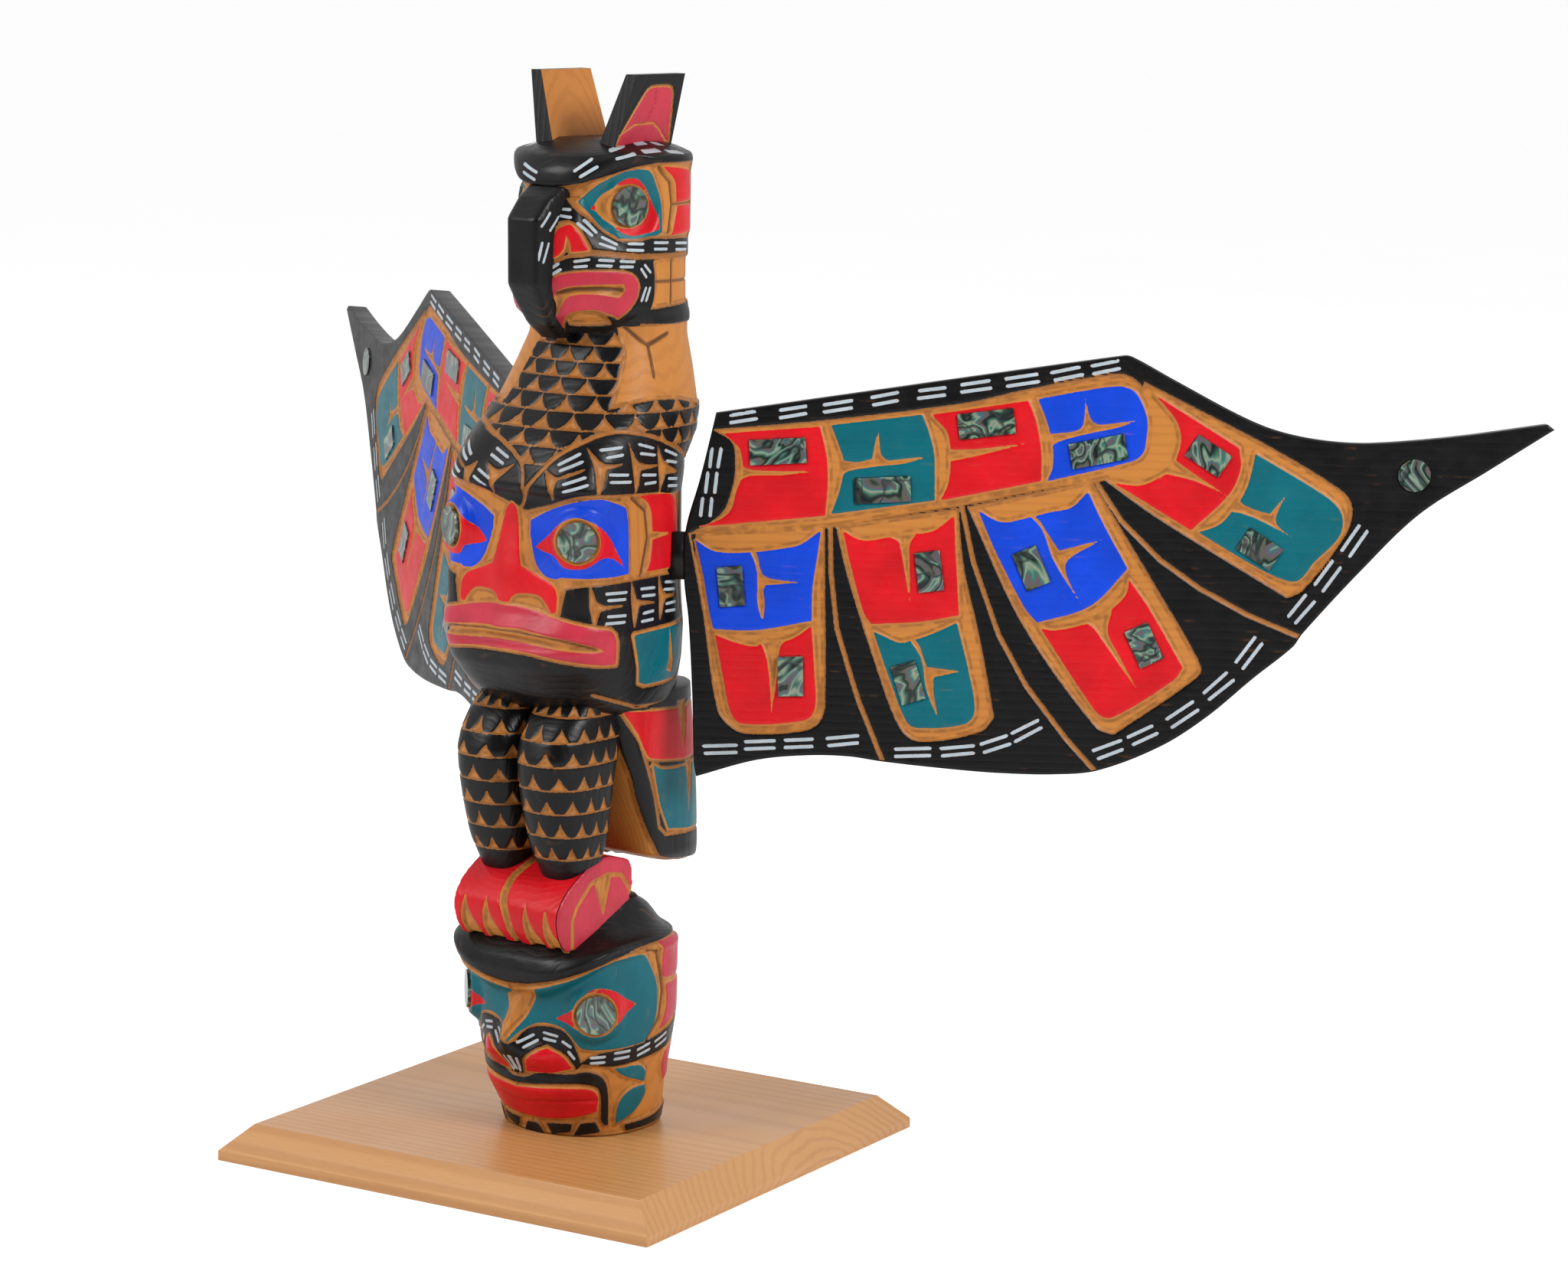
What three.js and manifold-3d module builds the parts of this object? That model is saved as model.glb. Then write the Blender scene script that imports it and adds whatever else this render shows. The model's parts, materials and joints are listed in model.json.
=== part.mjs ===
// A carved and painted model totem pole with spread wings, on a bevelled board.
// Millimetres, +Z up. The origin is the centre of the board's underside; the figure faces -Y.
import * as THREE from 'three';
import { mergeVertices } from 'three/addons/utils/BufferGeometryUtils.js';
import Module from 'manifold-3d';

// Board
const BOARD_SIDE = 286;
const BOARD_THICKNESS = 20;
const BOARD_BEVEL_INSET = 14.5;
const BOARD_EDGE_HEIGHT = 5.5;

// Figure
const POLE_HEIGHT = 555;
const LOG_RADIUS = 50;
const FIGURE_X = 13;
const FIGURE_Y = -5.5;
const FIGURE_TURN = -6;
const FIT_GAP = 0.3;

// Ears
const EAR_HEIGHT = 48;
const EAR_SEAT_DEPTH = 12;
const EAR_DEPTH = 50;
const EAR_FOOT_THICKNESS = 13;
const EAR_TOP_THICKNESS = 7;
const EAR_FOOT_INNER_X = 13;
const EAR_FLARE = 17;
const EAR_FRONT_SLOPE = 7;
const EAR_SETBACK = 2.5;

// Wings
const WING_LENGTH = 471;
const WING_THICKNESS = 13;
const WING_SWEEP = 35.8;
const WING_LEAN = 4.12;
const WING_PLANE_SHARE = -1.508;
const WING_ROOT_SHARE = 2;
const WING_GROOVE_WIDTH = 4.5;
const WING_GROOVE_DEPTH = 2.2;
const TENON_HEIGHT = 26;
const TENON_THICKNESS = 9;
const TENON_LENGTH = 16;
const TENON_LEVEL_SHARE = 0.594;
const TENON_SETBACK = 1;

// Shell inlays
const BAND_TILE_LENGTH = 31;
const FEATHER_TILE_LENGTH = 22;
const TILE_WIDTH = 14;
const INLAY_THICKNESS = 2;
const INLAY_PROUD = 1;
const EYE_DISC_DIAMETER = 22;
const WING_DISC_DIAMETER = 18;
const DISC_SIDES = 14;

// Fineness of the carved surface
const POLE_SIDES = 48;
const LEG_SIDES = 20;
const TAIL_SIDES = 28;
const SNOUT_SIDES = 36;
const BEAK_SIDES = 16;

const wasm = await Module();
wasm.setup();

const RADIANS = Math.PI / 180;
const groundToFoot = BOARD_THICKNESS + FIT_GAP;
const wingRoot = WING_ROOT_SHARE * LOG_RADIUS;
const tenonLevel = groundToFoot + TENON_LEVEL_SHARE * POLE_HEIGHT;

// Colours
const finish = (color, roughness, metalness = 0) => new THREE.MeshStandardMaterial({ color, roughness, metalness });
const FINISHES = {
  board: () => finish(0xc98a4b, 0.45),
  pole: () => finish(0x2b2422, 0.4),
  wing: () => finish(0x1d1a1c, 0.4),
  ear: () => finish(0x241f1e, 0.4),
  shell: () => finish(0x7fa08a, 0.2, 0.1),
};

// A closed mesh from triangles, with shared corners merged
function closedGeometry(positions, indices) {
  const geometry = new THREE.BufferGeometry();
  geometry.setAttribute('position', new THREE.Float32BufferAttribute(positions, 3));
  geometry.setIndex(indices);
  return geometry;
}

// Rings of equally many points, bottom to top, joined by quads and closed by fans
function loft(rings) {
  const sides = rings[0].length;
  const positions = [];
  const indices = [];
  const at = (row, side) => row * sides + (side % sides);
  rings.forEach((ring) => ring.forEach((point) => positions.push(...point)));
  for (let row = 0; row + 1 < rings.length; row += 1) {
    for (let side = 0; side < sides; side += 1) {
      indices.push(at(row, side), at(row, side + 1), at(row + 1, side + 1));
      indices.push(at(row, side), at(row + 1, side + 1), at(row + 1, side));
    }
  }
  const middle = (ring) => ring.reduce((sum, p) => sum.map((v, i) => v + p[i] / sides), [0, 0, 0]);
  const last = rings.length - 1;
  const foot = positions.length / 3;
  positions.push(...middle(rings[0]), ...middle(rings[last]));
  for (let side = 0; side < sides; side += 1) {
    indices.push(foot, at(0, side + 1), at(0, side));
    indices.push(foot + 1, at(last, side), at(last, side + 1));
  }
  return closedGeometry(positions, indices);
}

function solidOf(geometry) {
  const bare = geometry.clone();
  bare.deleteAttribute('normal');
  bare.deleteAttribute('uv');
  const merged = mergeVertices(bare, 1e-4);
  return new wasm.Manifold(new wasm.Mesh({
    numProp: 3,
    vertProperties: new Float32Array(merged.attributes.position.array),
    triVerts: new Uint32Array(merged.index.array),
  }));
}

function geometryOf(solid) {
  const mesh = solid.getMesh();
  return closedGeometry(Array.from(mesh.vertProperties), Array.from(mesh.triVerts));
}

function mirrored(geometry) {
  const flipped = geometryOf(solidOf(geometry)).applyMatrix4(new THREE.Matrix4().makeScale(-1, 1, 1));
  const index = Array.from(flipped.index.array);
  for (let i = 0; i < index.length; i += 3) [index[i + 1], index[i + 2]] = [index[i + 2], index[i + 1]];
  flipped.setIndex(index);
  return flipped;
}

function named(name, geometry, material) {
  const mesh = new THREE.Mesh(geometry, material);
  mesh.name = name;
  return mesh;
}

// Carved forms of the log. Each row is a level and the outline there, as shares of the pole's
// height and the log's radius: centre y, front, half width, back, squareness front and back.
const LOWER_FACE = [
  [0.000, -0.04, 0.86, 0.87, 0.86, 2.2, 2.2],
  [0.018, -0.04, 0.92, 0.91, 0.88, 2.2, 2.2],
  [0.038, -0.08, 0.98, 0.94, 0.94, 2.3, 2.2],
  [0.058, -0.12, 1.00, 0.97, 0.98, 2.4, 2.2],
  [0.090, -0.16, 1.00, 1.04, 1.06, 2.6, 2.2],
  [0.120, -0.20, 1.06, 1.12, 1.10, 2.8, 2.2],
  [0.150, -0.20, 1.04, 1.12, 1.10, 3.0, 2.2],
  [0.158, -0.20, 1.19, 1.16, 1.06, 3.6, 2.2],
  [0.177, -0.20, 1.24, 1.16, 1.00, 3.6, 2.2],
  [0.191, -0.20, 1.20, 1.12, 0.96, 3.4, 2.2],
  [0.205, -0.18, 1.06, 1.02, 0.88, 3.0, 2.2],
  [0.218, -0.16, 0.80, 0.92, 0.78, 3.0, 2.2],
  [0.230, -0.16, 0.56, 0.86, 0.60, 3.0, 2.4],
  [0.242, -0.16, 0.28, 0.80, 0.30, 3.0, 2.4],
];
const LEG = [
  [0.262, -0.80, 0.30, 0.33, 0.24, 2.6, 2.6],
  [0.275, -0.80, 0.38, 0.36, 0.26, 2.6, 2.6],
  [0.300, -0.82, 0.50, 0.39, 0.28, 2.6, 2.6],
  [0.342, -0.83, 0.62, 0.43, 0.34, 2.6, 2.6],
  [0.372, -0.84, 0.68, 0.45, 0.40, 2.6, 2.6],
  [0.396, -0.84, 0.70, 0.46, 0.44, 2.6, 2.8],
  [0.414, -0.82, 0.66, 0.45, 0.50, 2.6, 2.8],
  [0.432, -0.78, 0.56, 0.43, 0.56, 2.6, 2.8],
  [0.452, -0.72, 0.38, 0.40, 0.56, 2.6, 2.8],
];
const TAIL = [
  [0.262, 0.98, 0.14, 0.60, 0.28, 6, 2.3],
  [0.270, 0.68, 0.36, 0.84, 0.62, 8, 2.3],
  [0.282, 0.40, 0.44, 0.94, 0.92, 8, 2.3],
  [0.300, 0.34, 0.44, 0.95, 0.98, 8, 2.3],
  [0.343, 0.30, 0.60, 0.97, 0.97, 8, 2.3],
  [0.388, 0.24, 0.74, 0.98, 0.96, 8, 2.3],
  [0.437, 0.16, 0.82, 0.99, 0.96, 8, 2.3],
  [0.452, 0.14, 0.84, 0.99, 0.96, 8, 2.3],
];
const UPPER_FIGURE = [
  [0.430, -0.16, 0.60, 0.92, 1.00, 2.4, 2.2],
  [0.440, -0.18, 0.96, 1.00, 1.02, 2.6, 2.2],
  [0.456, -0.20, 1.16, 1.06, 1.02, 2.8, 2.2],
  [0.486, -0.22, 1.33, 1.16, 1.00, 3.4, 2.2],
  [0.520, -0.24, 1.34, 1.20, 1.00, 3.7, 2.2],
  [0.540, -0.24, 1.26, 1.17, 1.00, 4.4, 2.2],
  [0.560, -0.24, 1.25, 1.15, 1.00, 5.0, 2.2],
  [0.615, -0.24, 1.21, 1.14, 1.00, 6.0, 2.2],
  [0.655, -0.24, 1.18, 1.12, 1.02, 5.0, 2.2],
  [0.664, -0.24, 1.29, 1.13, 1.04, 4.6, 2.2],
  [0.685, -0.22, 1.24, 1.12, 1.08, 3.8, 2.2],
  [0.712, -0.06, 1.24, 1.14, 1.10, 2.8, 2.2],
  [0.738, 0.00, 1.02, 1.12, 1.12, 2.3, 2.2],
  [0.775, 0.10, 0.86, 1.00, 1.00, 2.3, 2.2],
  [0.807, 0.16, 0.76, 0.88, 0.92, 2.3, 2.2],
  [0.828, 0.16, 0.76, 0.88, 0.92, 2.4, 2.2],
  [0.836, 0.10, 0.86, 0.90, 0.92, 2.2, 2.2],
  [0.865, 0.09, 0.90, 0.90, 0.92, 2.2, 2.2],
  [0.930, 0.09, 0.94, 0.89, 0.92, 2.2, 2.2],
  [0.948, 0.09, 0.96, 0.89, 0.91, 2.2, 2.2],
  [0.956, 0.09, 1.06, 0.93, 0.90, 2.2, 2.2],
  [0.972, 0.09, 1.04, 0.92, 0.88, 2.2, 2.2],
  [0.986, 0.09, 0.94, 0.86, 0.84, 2.2, 2.2],
  [0.994, 0.09, 0.72, 0.74, 0.76, 2.1, 2.2],
  [1.000, 0.09, 0.44, 0.50, 0.52, 2.1, 2.2],
];
const BEAK = [
  [0.806, -0.40, 0.42, 0.16, 0.40, 4, 4],
  [0.820, -0.40, 0.62, 0.20, 0.40, 4, 4],
  [0.840, -0.40, 0.78, 0.24, 0.40, 4, 4],
  [0.860, -0.40, 0.92, 0.26, 0.40, 4, 4],
  [0.925, -0.40, 0.94, 0.26, 0.40, 4, 4],
  [0.945, -0.40, 0.74, 0.26, 0.40, 4, 4],
  [0.955, -0.40, 0.56, 0.26, 0.40, 4, 4],
];
const SNOUT = [
  [0.812, -0.10, 0.70, 0.64, 0.60, 1.9, 2.2],
  [0.830, -0.10, 0.94, 0.82, 0.60, 1.8, 2.2],
  [0.860, -0.10, 1.08, 0.88, 0.60, 1.7, 2.2],
  [0.915, -0.10, 1.06, 0.86, 0.60, 1.7, 2.2],
  [0.945, -0.10, 0.84, 0.80, 0.60, 1.8, 2.2],
];
const LEG_X = 0.43;

// The feet block's side profile, front to back, as centre-line y in log radii and level
const BLOCK_PROFILE = [
  [-1.24, 0.198], [-1.40, 0.214], [-1.46, 0.232], [-1.44, 0.246], [-1.30, 0.262], [-1.06, 0.276],
  [-0.84, 0.286], [-0.60, 0.290], [-0.36, 0.286], [-0.16, 0.280], [-0.13, 0.244], [-0.40, 0.222],
];
const BLOCK_HALF_WIDTH = 0.76;

// Hollows and swellings of the carving: side angle, level, height in log radii, and spreads
const LOWER_SWELLS = [
  { name: 'eye hollow', angle: 50, level: 0.130, rise: -0.12, across: 24, up: 0.026 },
  { name: 'eyeball', angle: 50, level: 0.136, rise: 0.12, across: 13, up: 0.017 },
  { name: 'nostril', angle: 16, level: 0.088, rise: 0.16, across: 11, up: 0.014 },
  { name: 'nose', angle: 0, level: 0.095, rise: 0.20, across: 9, up: 0.024 },
  { name: 'lips', angle: 0, level: 0.050, rise: 0.10, across: 36, up: 0.014 },
];
const UPPER_SWELLS = [
  { name: 'eye hollow', angle: 38, level: 0.616, rise: -0.12, across: 20, up: 0.030 },
  { name: 'eyeball', angle: 38, level: 0.616, rise: 0.13, across: 11, up: 0.019 },
  { name: 'nose', angle: 0, level: 0.575, rise: 0.08, across: 12, up: 0.040 },
  { name: 'lips', angle: 0, level: 0.512, rise: 0.07, across: 50, up: 0.022 },
  { name: 'mouth slit', angle: 0, level: 0.512, rise: -0.10, across: 36, up: 0.006 },
  { name: 'head eye hollow', angle: 56, level: 0.934, rise: -0.15, across: 22, up: 0.019 },
  { name: 'head eyeball', angle: 58, level: 0.937, rise: 0.08, across: 14, up: 0.014 },
];
const LOWER_LEVELS = [0, 0.018, 0.038, 0.05, 0.062, 0.076, 0.09, 0.104, 0.12, 0.136, 0.15, 0.158, 0.177, 0.191,
  0.205, 0.218, 0.23, 0.242];
const UPPER_LEVELS = [0.43, 0.44, 0.456, 0.486, 0.502, 0.512, 0.522, 0.54, 0.56, 0.578, 0.597, 0.616, 0.635, 0.655,
  0.664, 0.685, 0.712, 0.738, 0.775, 0.807, 0.828, 0.836, 0.865, 0.9, 0.92, 0.937, 0.95, 0.956, 0.972, 0.986,
  0.994, 1];
const levelsOf = (rows) => rows.map((row) => row[0]);

function outlineAt(rows, level) {
  let i = 0;
  while (i + 2 < rows.length && rows[i + 1][0] < level) i += 1;
  const share = (level - rows[i][0]) / (rows[i + 1][0] - rows[i][0]);
  return rows[i].map((value, k) => value + (rows[i + 1][k] - value) * share);
}

// A point of a carved form in millimetres, at a side angle from the front and a level
function surfacePoint(rows, level, angle, formX = 0, swells = []) {
  const [, centreY, front, half, back, squareFront, squareBack] = outlineAt(rows, level);
  const across = Math.sin(angle);
  const forward = Math.cos(angle);
  const power = forward > 0 ? squareFront : squareBack;
  const reach = forward > 0 ? front : back;
  const bare = (Math.abs(across / half) ** power + Math.abs(forward / reach) ** power) ** (-1 / power);
  const side = Math.abs(Math.atan2(across, forward)) / RADIANS;
  const distance = swells.reduce((sum, swell) => sum + swell.rise
    * Math.exp(-(((side - swell.angle) / swell.across) ** 2) - ((level - swell.level) / swell.up) ** 2), bare);
  return [
    LOG_RADIUS * (formX + distance * across),
    LOG_RADIUS * (centreY - distance * forward),
    groundToFoot + POLE_HEIGHT * level,
  ];
}

function carvedForm(rows, levels, sides, formX, swells) {
  return loft(levels.map((level) => Array.from({ length: sides }, (_, side) => (
    surfacePoint(rows, level, (side / sides) * 2 * Math.PI, formX, swells)))));
}

function feetBlock() {
  const half = BLOCK_HALF_WIDTH * LOG_RADIUS;
  const ring = (x) => BLOCK_PROFILE.map(([y, level]) => [x, y * LOG_RADIUS, groundToFoot + POLE_HEIGHT * level]);
  return loft([ring(half), ring(-half)]);
}

function carvedLog() {
  const leg = solidOf(carvedForm(LEG, levelsOf(LEG), LEG_SIDES, LEG_X));
  return [
    carvedForm(LOWER_FACE, LOWER_LEVELS, POLE_SIDES, 0, LOWER_SWELLS),
    carvedForm(TAIL, levelsOf(TAIL), TAIL_SIDES),
    carvedForm(UPPER_FIGURE, UPPER_LEVELS, POLE_SIDES, 0, UPPER_SWELLS),
    carvedForm(SNOUT, levelsOf(SNOUT), SNOUT_SIDES),
    carvedForm(BEAK, levelsOf(BEAK), BEAK_SIDES),
    feetBlock(),
    mirrored(geometryOf(leg)),
  ].reduce((sum, form) => sum.add(solidOf(form)), leg);
}

// An ear stands on the head: a slab that flares outward and thins toward its top
function ear(clearance = 0) {
  const headTop = groundToFoot + POLE_HEIGHT;
  const bottom = headTop - EAR_SEAT_DEPTH - clearance;
  const top = headTop + EAR_HEIGHT - EAR_SEAT_DEPTH;
  const section = (share, z) => {
    const inner = EAR_FOOT_INNER_X + EAR_FLARE * share - clearance;
    const outer = inner + EAR_FOOT_THICKNESS + (EAR_TOP_THICKNESS - EAR_FOOT_THICKNESS) * share + 2 * clearance;
    const front = EAR_SETBACK - EAR_DEPTH / 2 + EAR_FRONT_SLOPE * share - clearance;
    const back = EAR_SETBACK + EAR_DEPTH / 2 + clearance;
    return [[inner, front, z], [outer, front, z], [outer, back, z], [inner, back, z]];
  };
  return loft([section(0, bottom), section(0.5, (bottom + top) / 2), section(1, top)]);
}

// Shapes in the wing's own plane, as shares of the wing's length: how far out from the root, and how
// far above the tenon's level
const WING_OUTLINE = [
  [0.025, 0.168], [0.499, 0.246], [0.510, 0.244], [0.558, 0.219], [0.635, 0.180], [0.679, 0.163],
  [0.732, 0.153], [0.788, 0.151], [0.885, 0.161], [0.992, 0.178], [1.000, 0.172], [0.926, 0.123],
  [0.847, 0.070], [0.781, 0.002], [0.715, -0.074], [0.705, -0.089], [0.660, -0.127], [0.607, -0.174],
  [0.554, -0.210], [0.482, -0.240], [0.431, -0.246], [0.363, -0.246], [0.297, -0.242], [0.229, -0.236],
  [0.189, -0.231], [0.140, -0.231], [0.081, -0.238], [0.011, -0.259], [0.008, -0.242], [0.004, -0.157],
  [-0.002, -0.074], [-0.008, -0.028], [-0.008, 0.028], [0.008, 0.091], [0.021, 0.149],
];
const WING_GROOVES = [
  {
    name: 'band',
    path: [
      [0.008, 0.030], [0.151, 0.042], [0.316, 0.070], [0.497, 0.108], [0.529, 0.134], [0.533, 0.170],
      [0.522, 0.200], [0.495, 0.219], [0.389, 0.202], [0.149, 0.163], [0.025, 0.151],
    ],
  },
  {
    name: 'first feather',
    path: [
      [-0.002, 0.019], [0.017, -0.066], [0.038, -0.178], [0.055, -0.202], [0.140, -0.204], [0.155, -0.187],
      [0.157, -0.106], [0.151, 0.036],
    ],
  },
  {
    name: 'second feather',
    path: [
      [0.172, 0.036], [0.185, -0.015], [0.223, -0.123], [0.255, -0.200], [0.276, -0.210], [0.344, -0.197],
      [0.355, -0.180], [0.335, -0.089], [0.308, 0.055],
    ],
  },
  {
    name: 'third feather',
    path: [
      [0.323, 0.062], [0.393, -0.068], [0.482, -0.185], [0.503, -0.191], [0.592, -0.123], [0.592, -0.113],
      [0.544, -0.032], [0.463, 0.091],
    ],
  },
  {
    name: 'fourth feather',
    path: [
      [0.480, 0.098], [0.546, 0.059], [0.696, -0.028], [0.713, -0.019], [0.758, 0.045], [0.762, 0.074],
      [0.665, 0.140], [0.531, 0.210],
    ],
  },
  {
    name: 'first separator',
    path: [
      [0.161, 0.034], [0.163, -0.008], [0.172, -0.081], [0.200, -0.159], [0.231, -0.238],
    ],
  },
  {
    name: 'second separator',
    path: [
      [0.314, 0.057], [0.333, -0.006], [0.367, -0.096], [0.416, -0.170], [0.484, -0.242],
    ],
  },
  {
    name: 'third separator',
    path: [
      [0.476, 0.089], [0.518, 0.040], [0.588, -0.019], [0.658, -0.051], [0.718, -0.079],
    ],
  },
];
// Inlays: place, and the turn of a tile's long side from the wing's length
const BAND_TILES = [
  [0.098, 0.125, 4], [0.221, 0.083, 4], [0.340, 0.163, 8], [0.471, 0.134, 12],
];
const FEATHER_TILES = [
  [0.599, 0.132, -32], [0.662, 0.025, -32], [0.047, -0.034, 96], [0.119, -0.138, 92], [0.278, -0.011, 98],
  [0.257, -0.142, 108], [0.397, -0.004, 114], [0.531, -0.091, 116],
];
const WING_DISC = [0.839, 0.115];
const inWingPlane = ([out, above]) => [wingRoot + out * WING_LENGTH, tenonLevel + above * WING_LENGTH];

// The wing's own frame placed in the figure
const wingMatrix = (() => {
  const along = new THREE.Vector3(Math.cos(WING_SWEEP * RADIANS), Math.sin(WING_SWEEP * RADIANS), 0);
  const front = new THREE.Vector3(Math.sin(WING_SWEEP * RADIANS), -Math.cos(WING_SWEEP * RADIANS), 0)
    .multiplyScalar(Math.cos(WING_LEAN * RADIANS)).add(new THREE.Vector3(0, 0, Math.sin(WING_LEAN * RADIANS)));
  const up = new THREE.Vector3().crossVectors(front, along);
  return new THREE.Matrix4().makeBasis(along, up, front).setPosition(0, WING_PLANE_SHARE * LOG_RADIUS, 0);
})();

function slab(outline, thickness, faceHeight = 0) {
  const shape = new THREE.Shape(outline.map((point) => new THREE.Vector2(...point)));
  const geometry = new THREE.ExtrudeGeometry(shape, { depth: thickness, bevelEnabled: false });
  return geometry.translate(0, 0, faceHeight - thickness);
}

// A V-shaped cutter that follows a path on the wing's face
function grooveCutter(path, width, depth) {
  const rings = path.map(([u, v], i) => {
    const before = path[Math.max(i - 1, 0)];
    const after = path[Math.min(i + 1, path.length - 1)];
    const length = Math.hypot(after[0] - before[0], after[1] - before[1]);
    const across = [-(after[1] - before[1]) / length, (after[0] - before[0]) / length];
    const half = width / 2;
    return [
      [u + across[0] * half, v + across[1] * half, depth / 2],
      [u, v, -depth],
      [u - across[0] * half, v - across[1] * half, depth / 2],
    ];
  });
  return loft(rings.reverse());
}

const inlayHeight = INLAY_PROUD - INLAY_THICKNESS / 2;

function tile(tileLength, clearance = 0) {
  const length = tileLength + 2 * clearance;
  const width = TILE_WIDTH + 2 * clearance;
  const thickness = INLAY_THICKNESS + 2 * clearance;
  return new THREE.BoxGeometry(length, width, thickness).translate(0, 0, inlayHeight);
}

function disc(diameter, clearance = 0) {
  const radius = diameter / 2 + clearance;
  const thickness = INLAY_THICKNESS + 2 * clearance;
  return new THREE.CylinderGeometry(radius, radius, thickness, DISC_SIDES)
    .rotateX(Math.PI / 2).translate(0, 0, inlayHeight);
}

// The wing's inlays: name, place in the wing's plane, and a maker of the inlay or of its pocket
const wingInlays = [
  ...BAND_TILES.map((place, i) => ({ name: `band_tile_${i + 1}`, place, make: (gap) => tile(BAND_TILE_LENGTH, gap) })),
  ...FEATHER_TILES.map((place, i) => (
    { name: `feather_tile_${i + 1}`, place, make: (gap) => tile(FEATHER_TILE_LENGTH, gap) })),
  { name: 'wing_disc', place: [...WING_DISC, 0], make: (gap) => disc(WING_DISC_DIAMETER, gap) },
].map((inlay) => {
  const [out, above, turn] = inlay.place;
  const matrix = new THREE.Matrix4().makeRotationZ(turn * RADIANS);
  return { ...inlay, matrix: matrix.setPosition(...inWingPlane([out, above]), 0) };
});

function tenon(clearance = 0) {
  const end = wingRoot - TENON_LENGTH - 2 * clearance;
  const low = tenonLevel - TENON_HEIGHT / 2 - clearance;
  const high = tenonLevel + TENON_HEIGHT / 2 + clearance;
  const outline = [[end, low], [wingRoot, low], [wingRoot, high], [end, high]];
  return slab(outline, TENON_THICKNESS + 2 * clearance, clearance - TENON_SETBACK);
}

function wing() {
  let solid = solidOf(slab(WING_OUTLINE.map(inWingPlane), WING_THICKNESS)).add(solidOf(tenon()));
  WING_GROOVES.forEach((groove) => {
    solid = solid.subtract(solidOf(grooveCutter(groove.path.map(inWingPlane), WING_GROOVE_WIDTH, WING_GROOVE_DEPTH)));
  });
  wingInlays.forEach((inlay) => {
    solid = solid.subtract(solidOf(inlay.make(FIT_GAP).applyMatrix4(inlay.matrix)));
  });
  return geometryOf(solid).applyMatrix4(wingMatrix);
}

// Eye discs on the pole: where each sits on its face and the direction that it faces
const EYES = [
  { name: 'head', rows: UPPER_FIGURE, swells: UPPER_SWELLS, angle: 58, level: 0.937, faces: 70 },
  { name: 'middle_face', rows: UPPER_FIGURE, swells: UPPER_SWELLS, angle: 38, level: 0.616, faces: 28 },
  { name: 'lower_face', rows: LOWER_FACE, swells: LOWER_SWELLS, angle: 50, level: 0.136, faces: 44 },
];
const eyePlace = (eye) => {
  const centre = surfacePoint(eye.rows, eye.level, eye.angle * RADIANS, 0, eye.swells);
  return new THREE.Matrix4().makeTranslation(...centre)
    .multiply(new THREE.Matrix4().makeRotationZ(eye.faces * RADIANS))
    .multiply(new THREE.Matrix4().makeRotationX(90 * RADIANS));
};
const eyeDisc = (eye, clearance = 0) => disc(EYE_DISC_DIAMETER, clearance).applyMatrix4(eyePlace(eye));

function pole() {
  let solid = carvedLog();
  const cut = (geometry) => {
    solid = solid.subtract(solidOf(geometry)).subtract(solidOf(mirrored(geometry)));
  };
  cut(ear(FIT_GAP));
  cut(tenon(FIT_GAP).applyMatrix4(wingMatrix));
  EYES.forEach((eye) => cut(eyeDisc(eye, FIT_GAP)));
  return geometryOf(solid);
}

function board() {
  const ring = (inset, z) => {
    const half = BOARD_SIDE / 2 - inset;
    return [[-half, -half, z], [half, -half, z], [half, half, z], [-half, half, z]];
  };
  return loft([ring(0, 0), ring(0, BOARD_EDGE_HEIGHT), ring(BOARD_BEVEL_INSET, BOARD_THICKNESS)]);
}

const object = new THREE.Group();
object.add(named('base_board', board(), FINISHES.board()));

const figure = new THREE.Group();
figure.position.set(FIGURE_X, FIGURE_Y, 0);
figure.rotation.z = FIGURE_TURN * RADIANS;
object.add(figure);
figure.add(named('pole', pole(), FINISHES.pole()));

function addPair(name, geometry, material) {
  figure.add(named(`${name}_right`, geometry, material()));
  figure.add(named(`${name}_left`, mirrored(geometry), material()));
}

const indexed = (geometry) => geometryOf(solidOf(geometry));
addPair('wing', wing(), FINISHES.wing);
addPair('ear', ear(), FINISHES.ear);
EYES.forEach((eye) => addPair(`eye_disc_${eye.name}`, indexed(eyeDisc(eye)), FINISHES.shell));
wingInlays.forEach((inlay) => {
  const geometry = inlay.make(0).applyMatrix4(inlay.matrix).applyMatrix4(wingMatrix);
  addPair(inlay.name, indexed(geometry), FINISHES.shell);
});

export default object;
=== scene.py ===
"""A carved and painted model totem pole with spread wings, on a bevelled board."""
import json
import math

import bpy
import numpy as np
from bpy.props import FloatProperty, FloatVectorProperty, PointerProperty
from mathutils import Matrix, Vector
from mathutils.geometry import delaunay_2d_cdt

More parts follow.
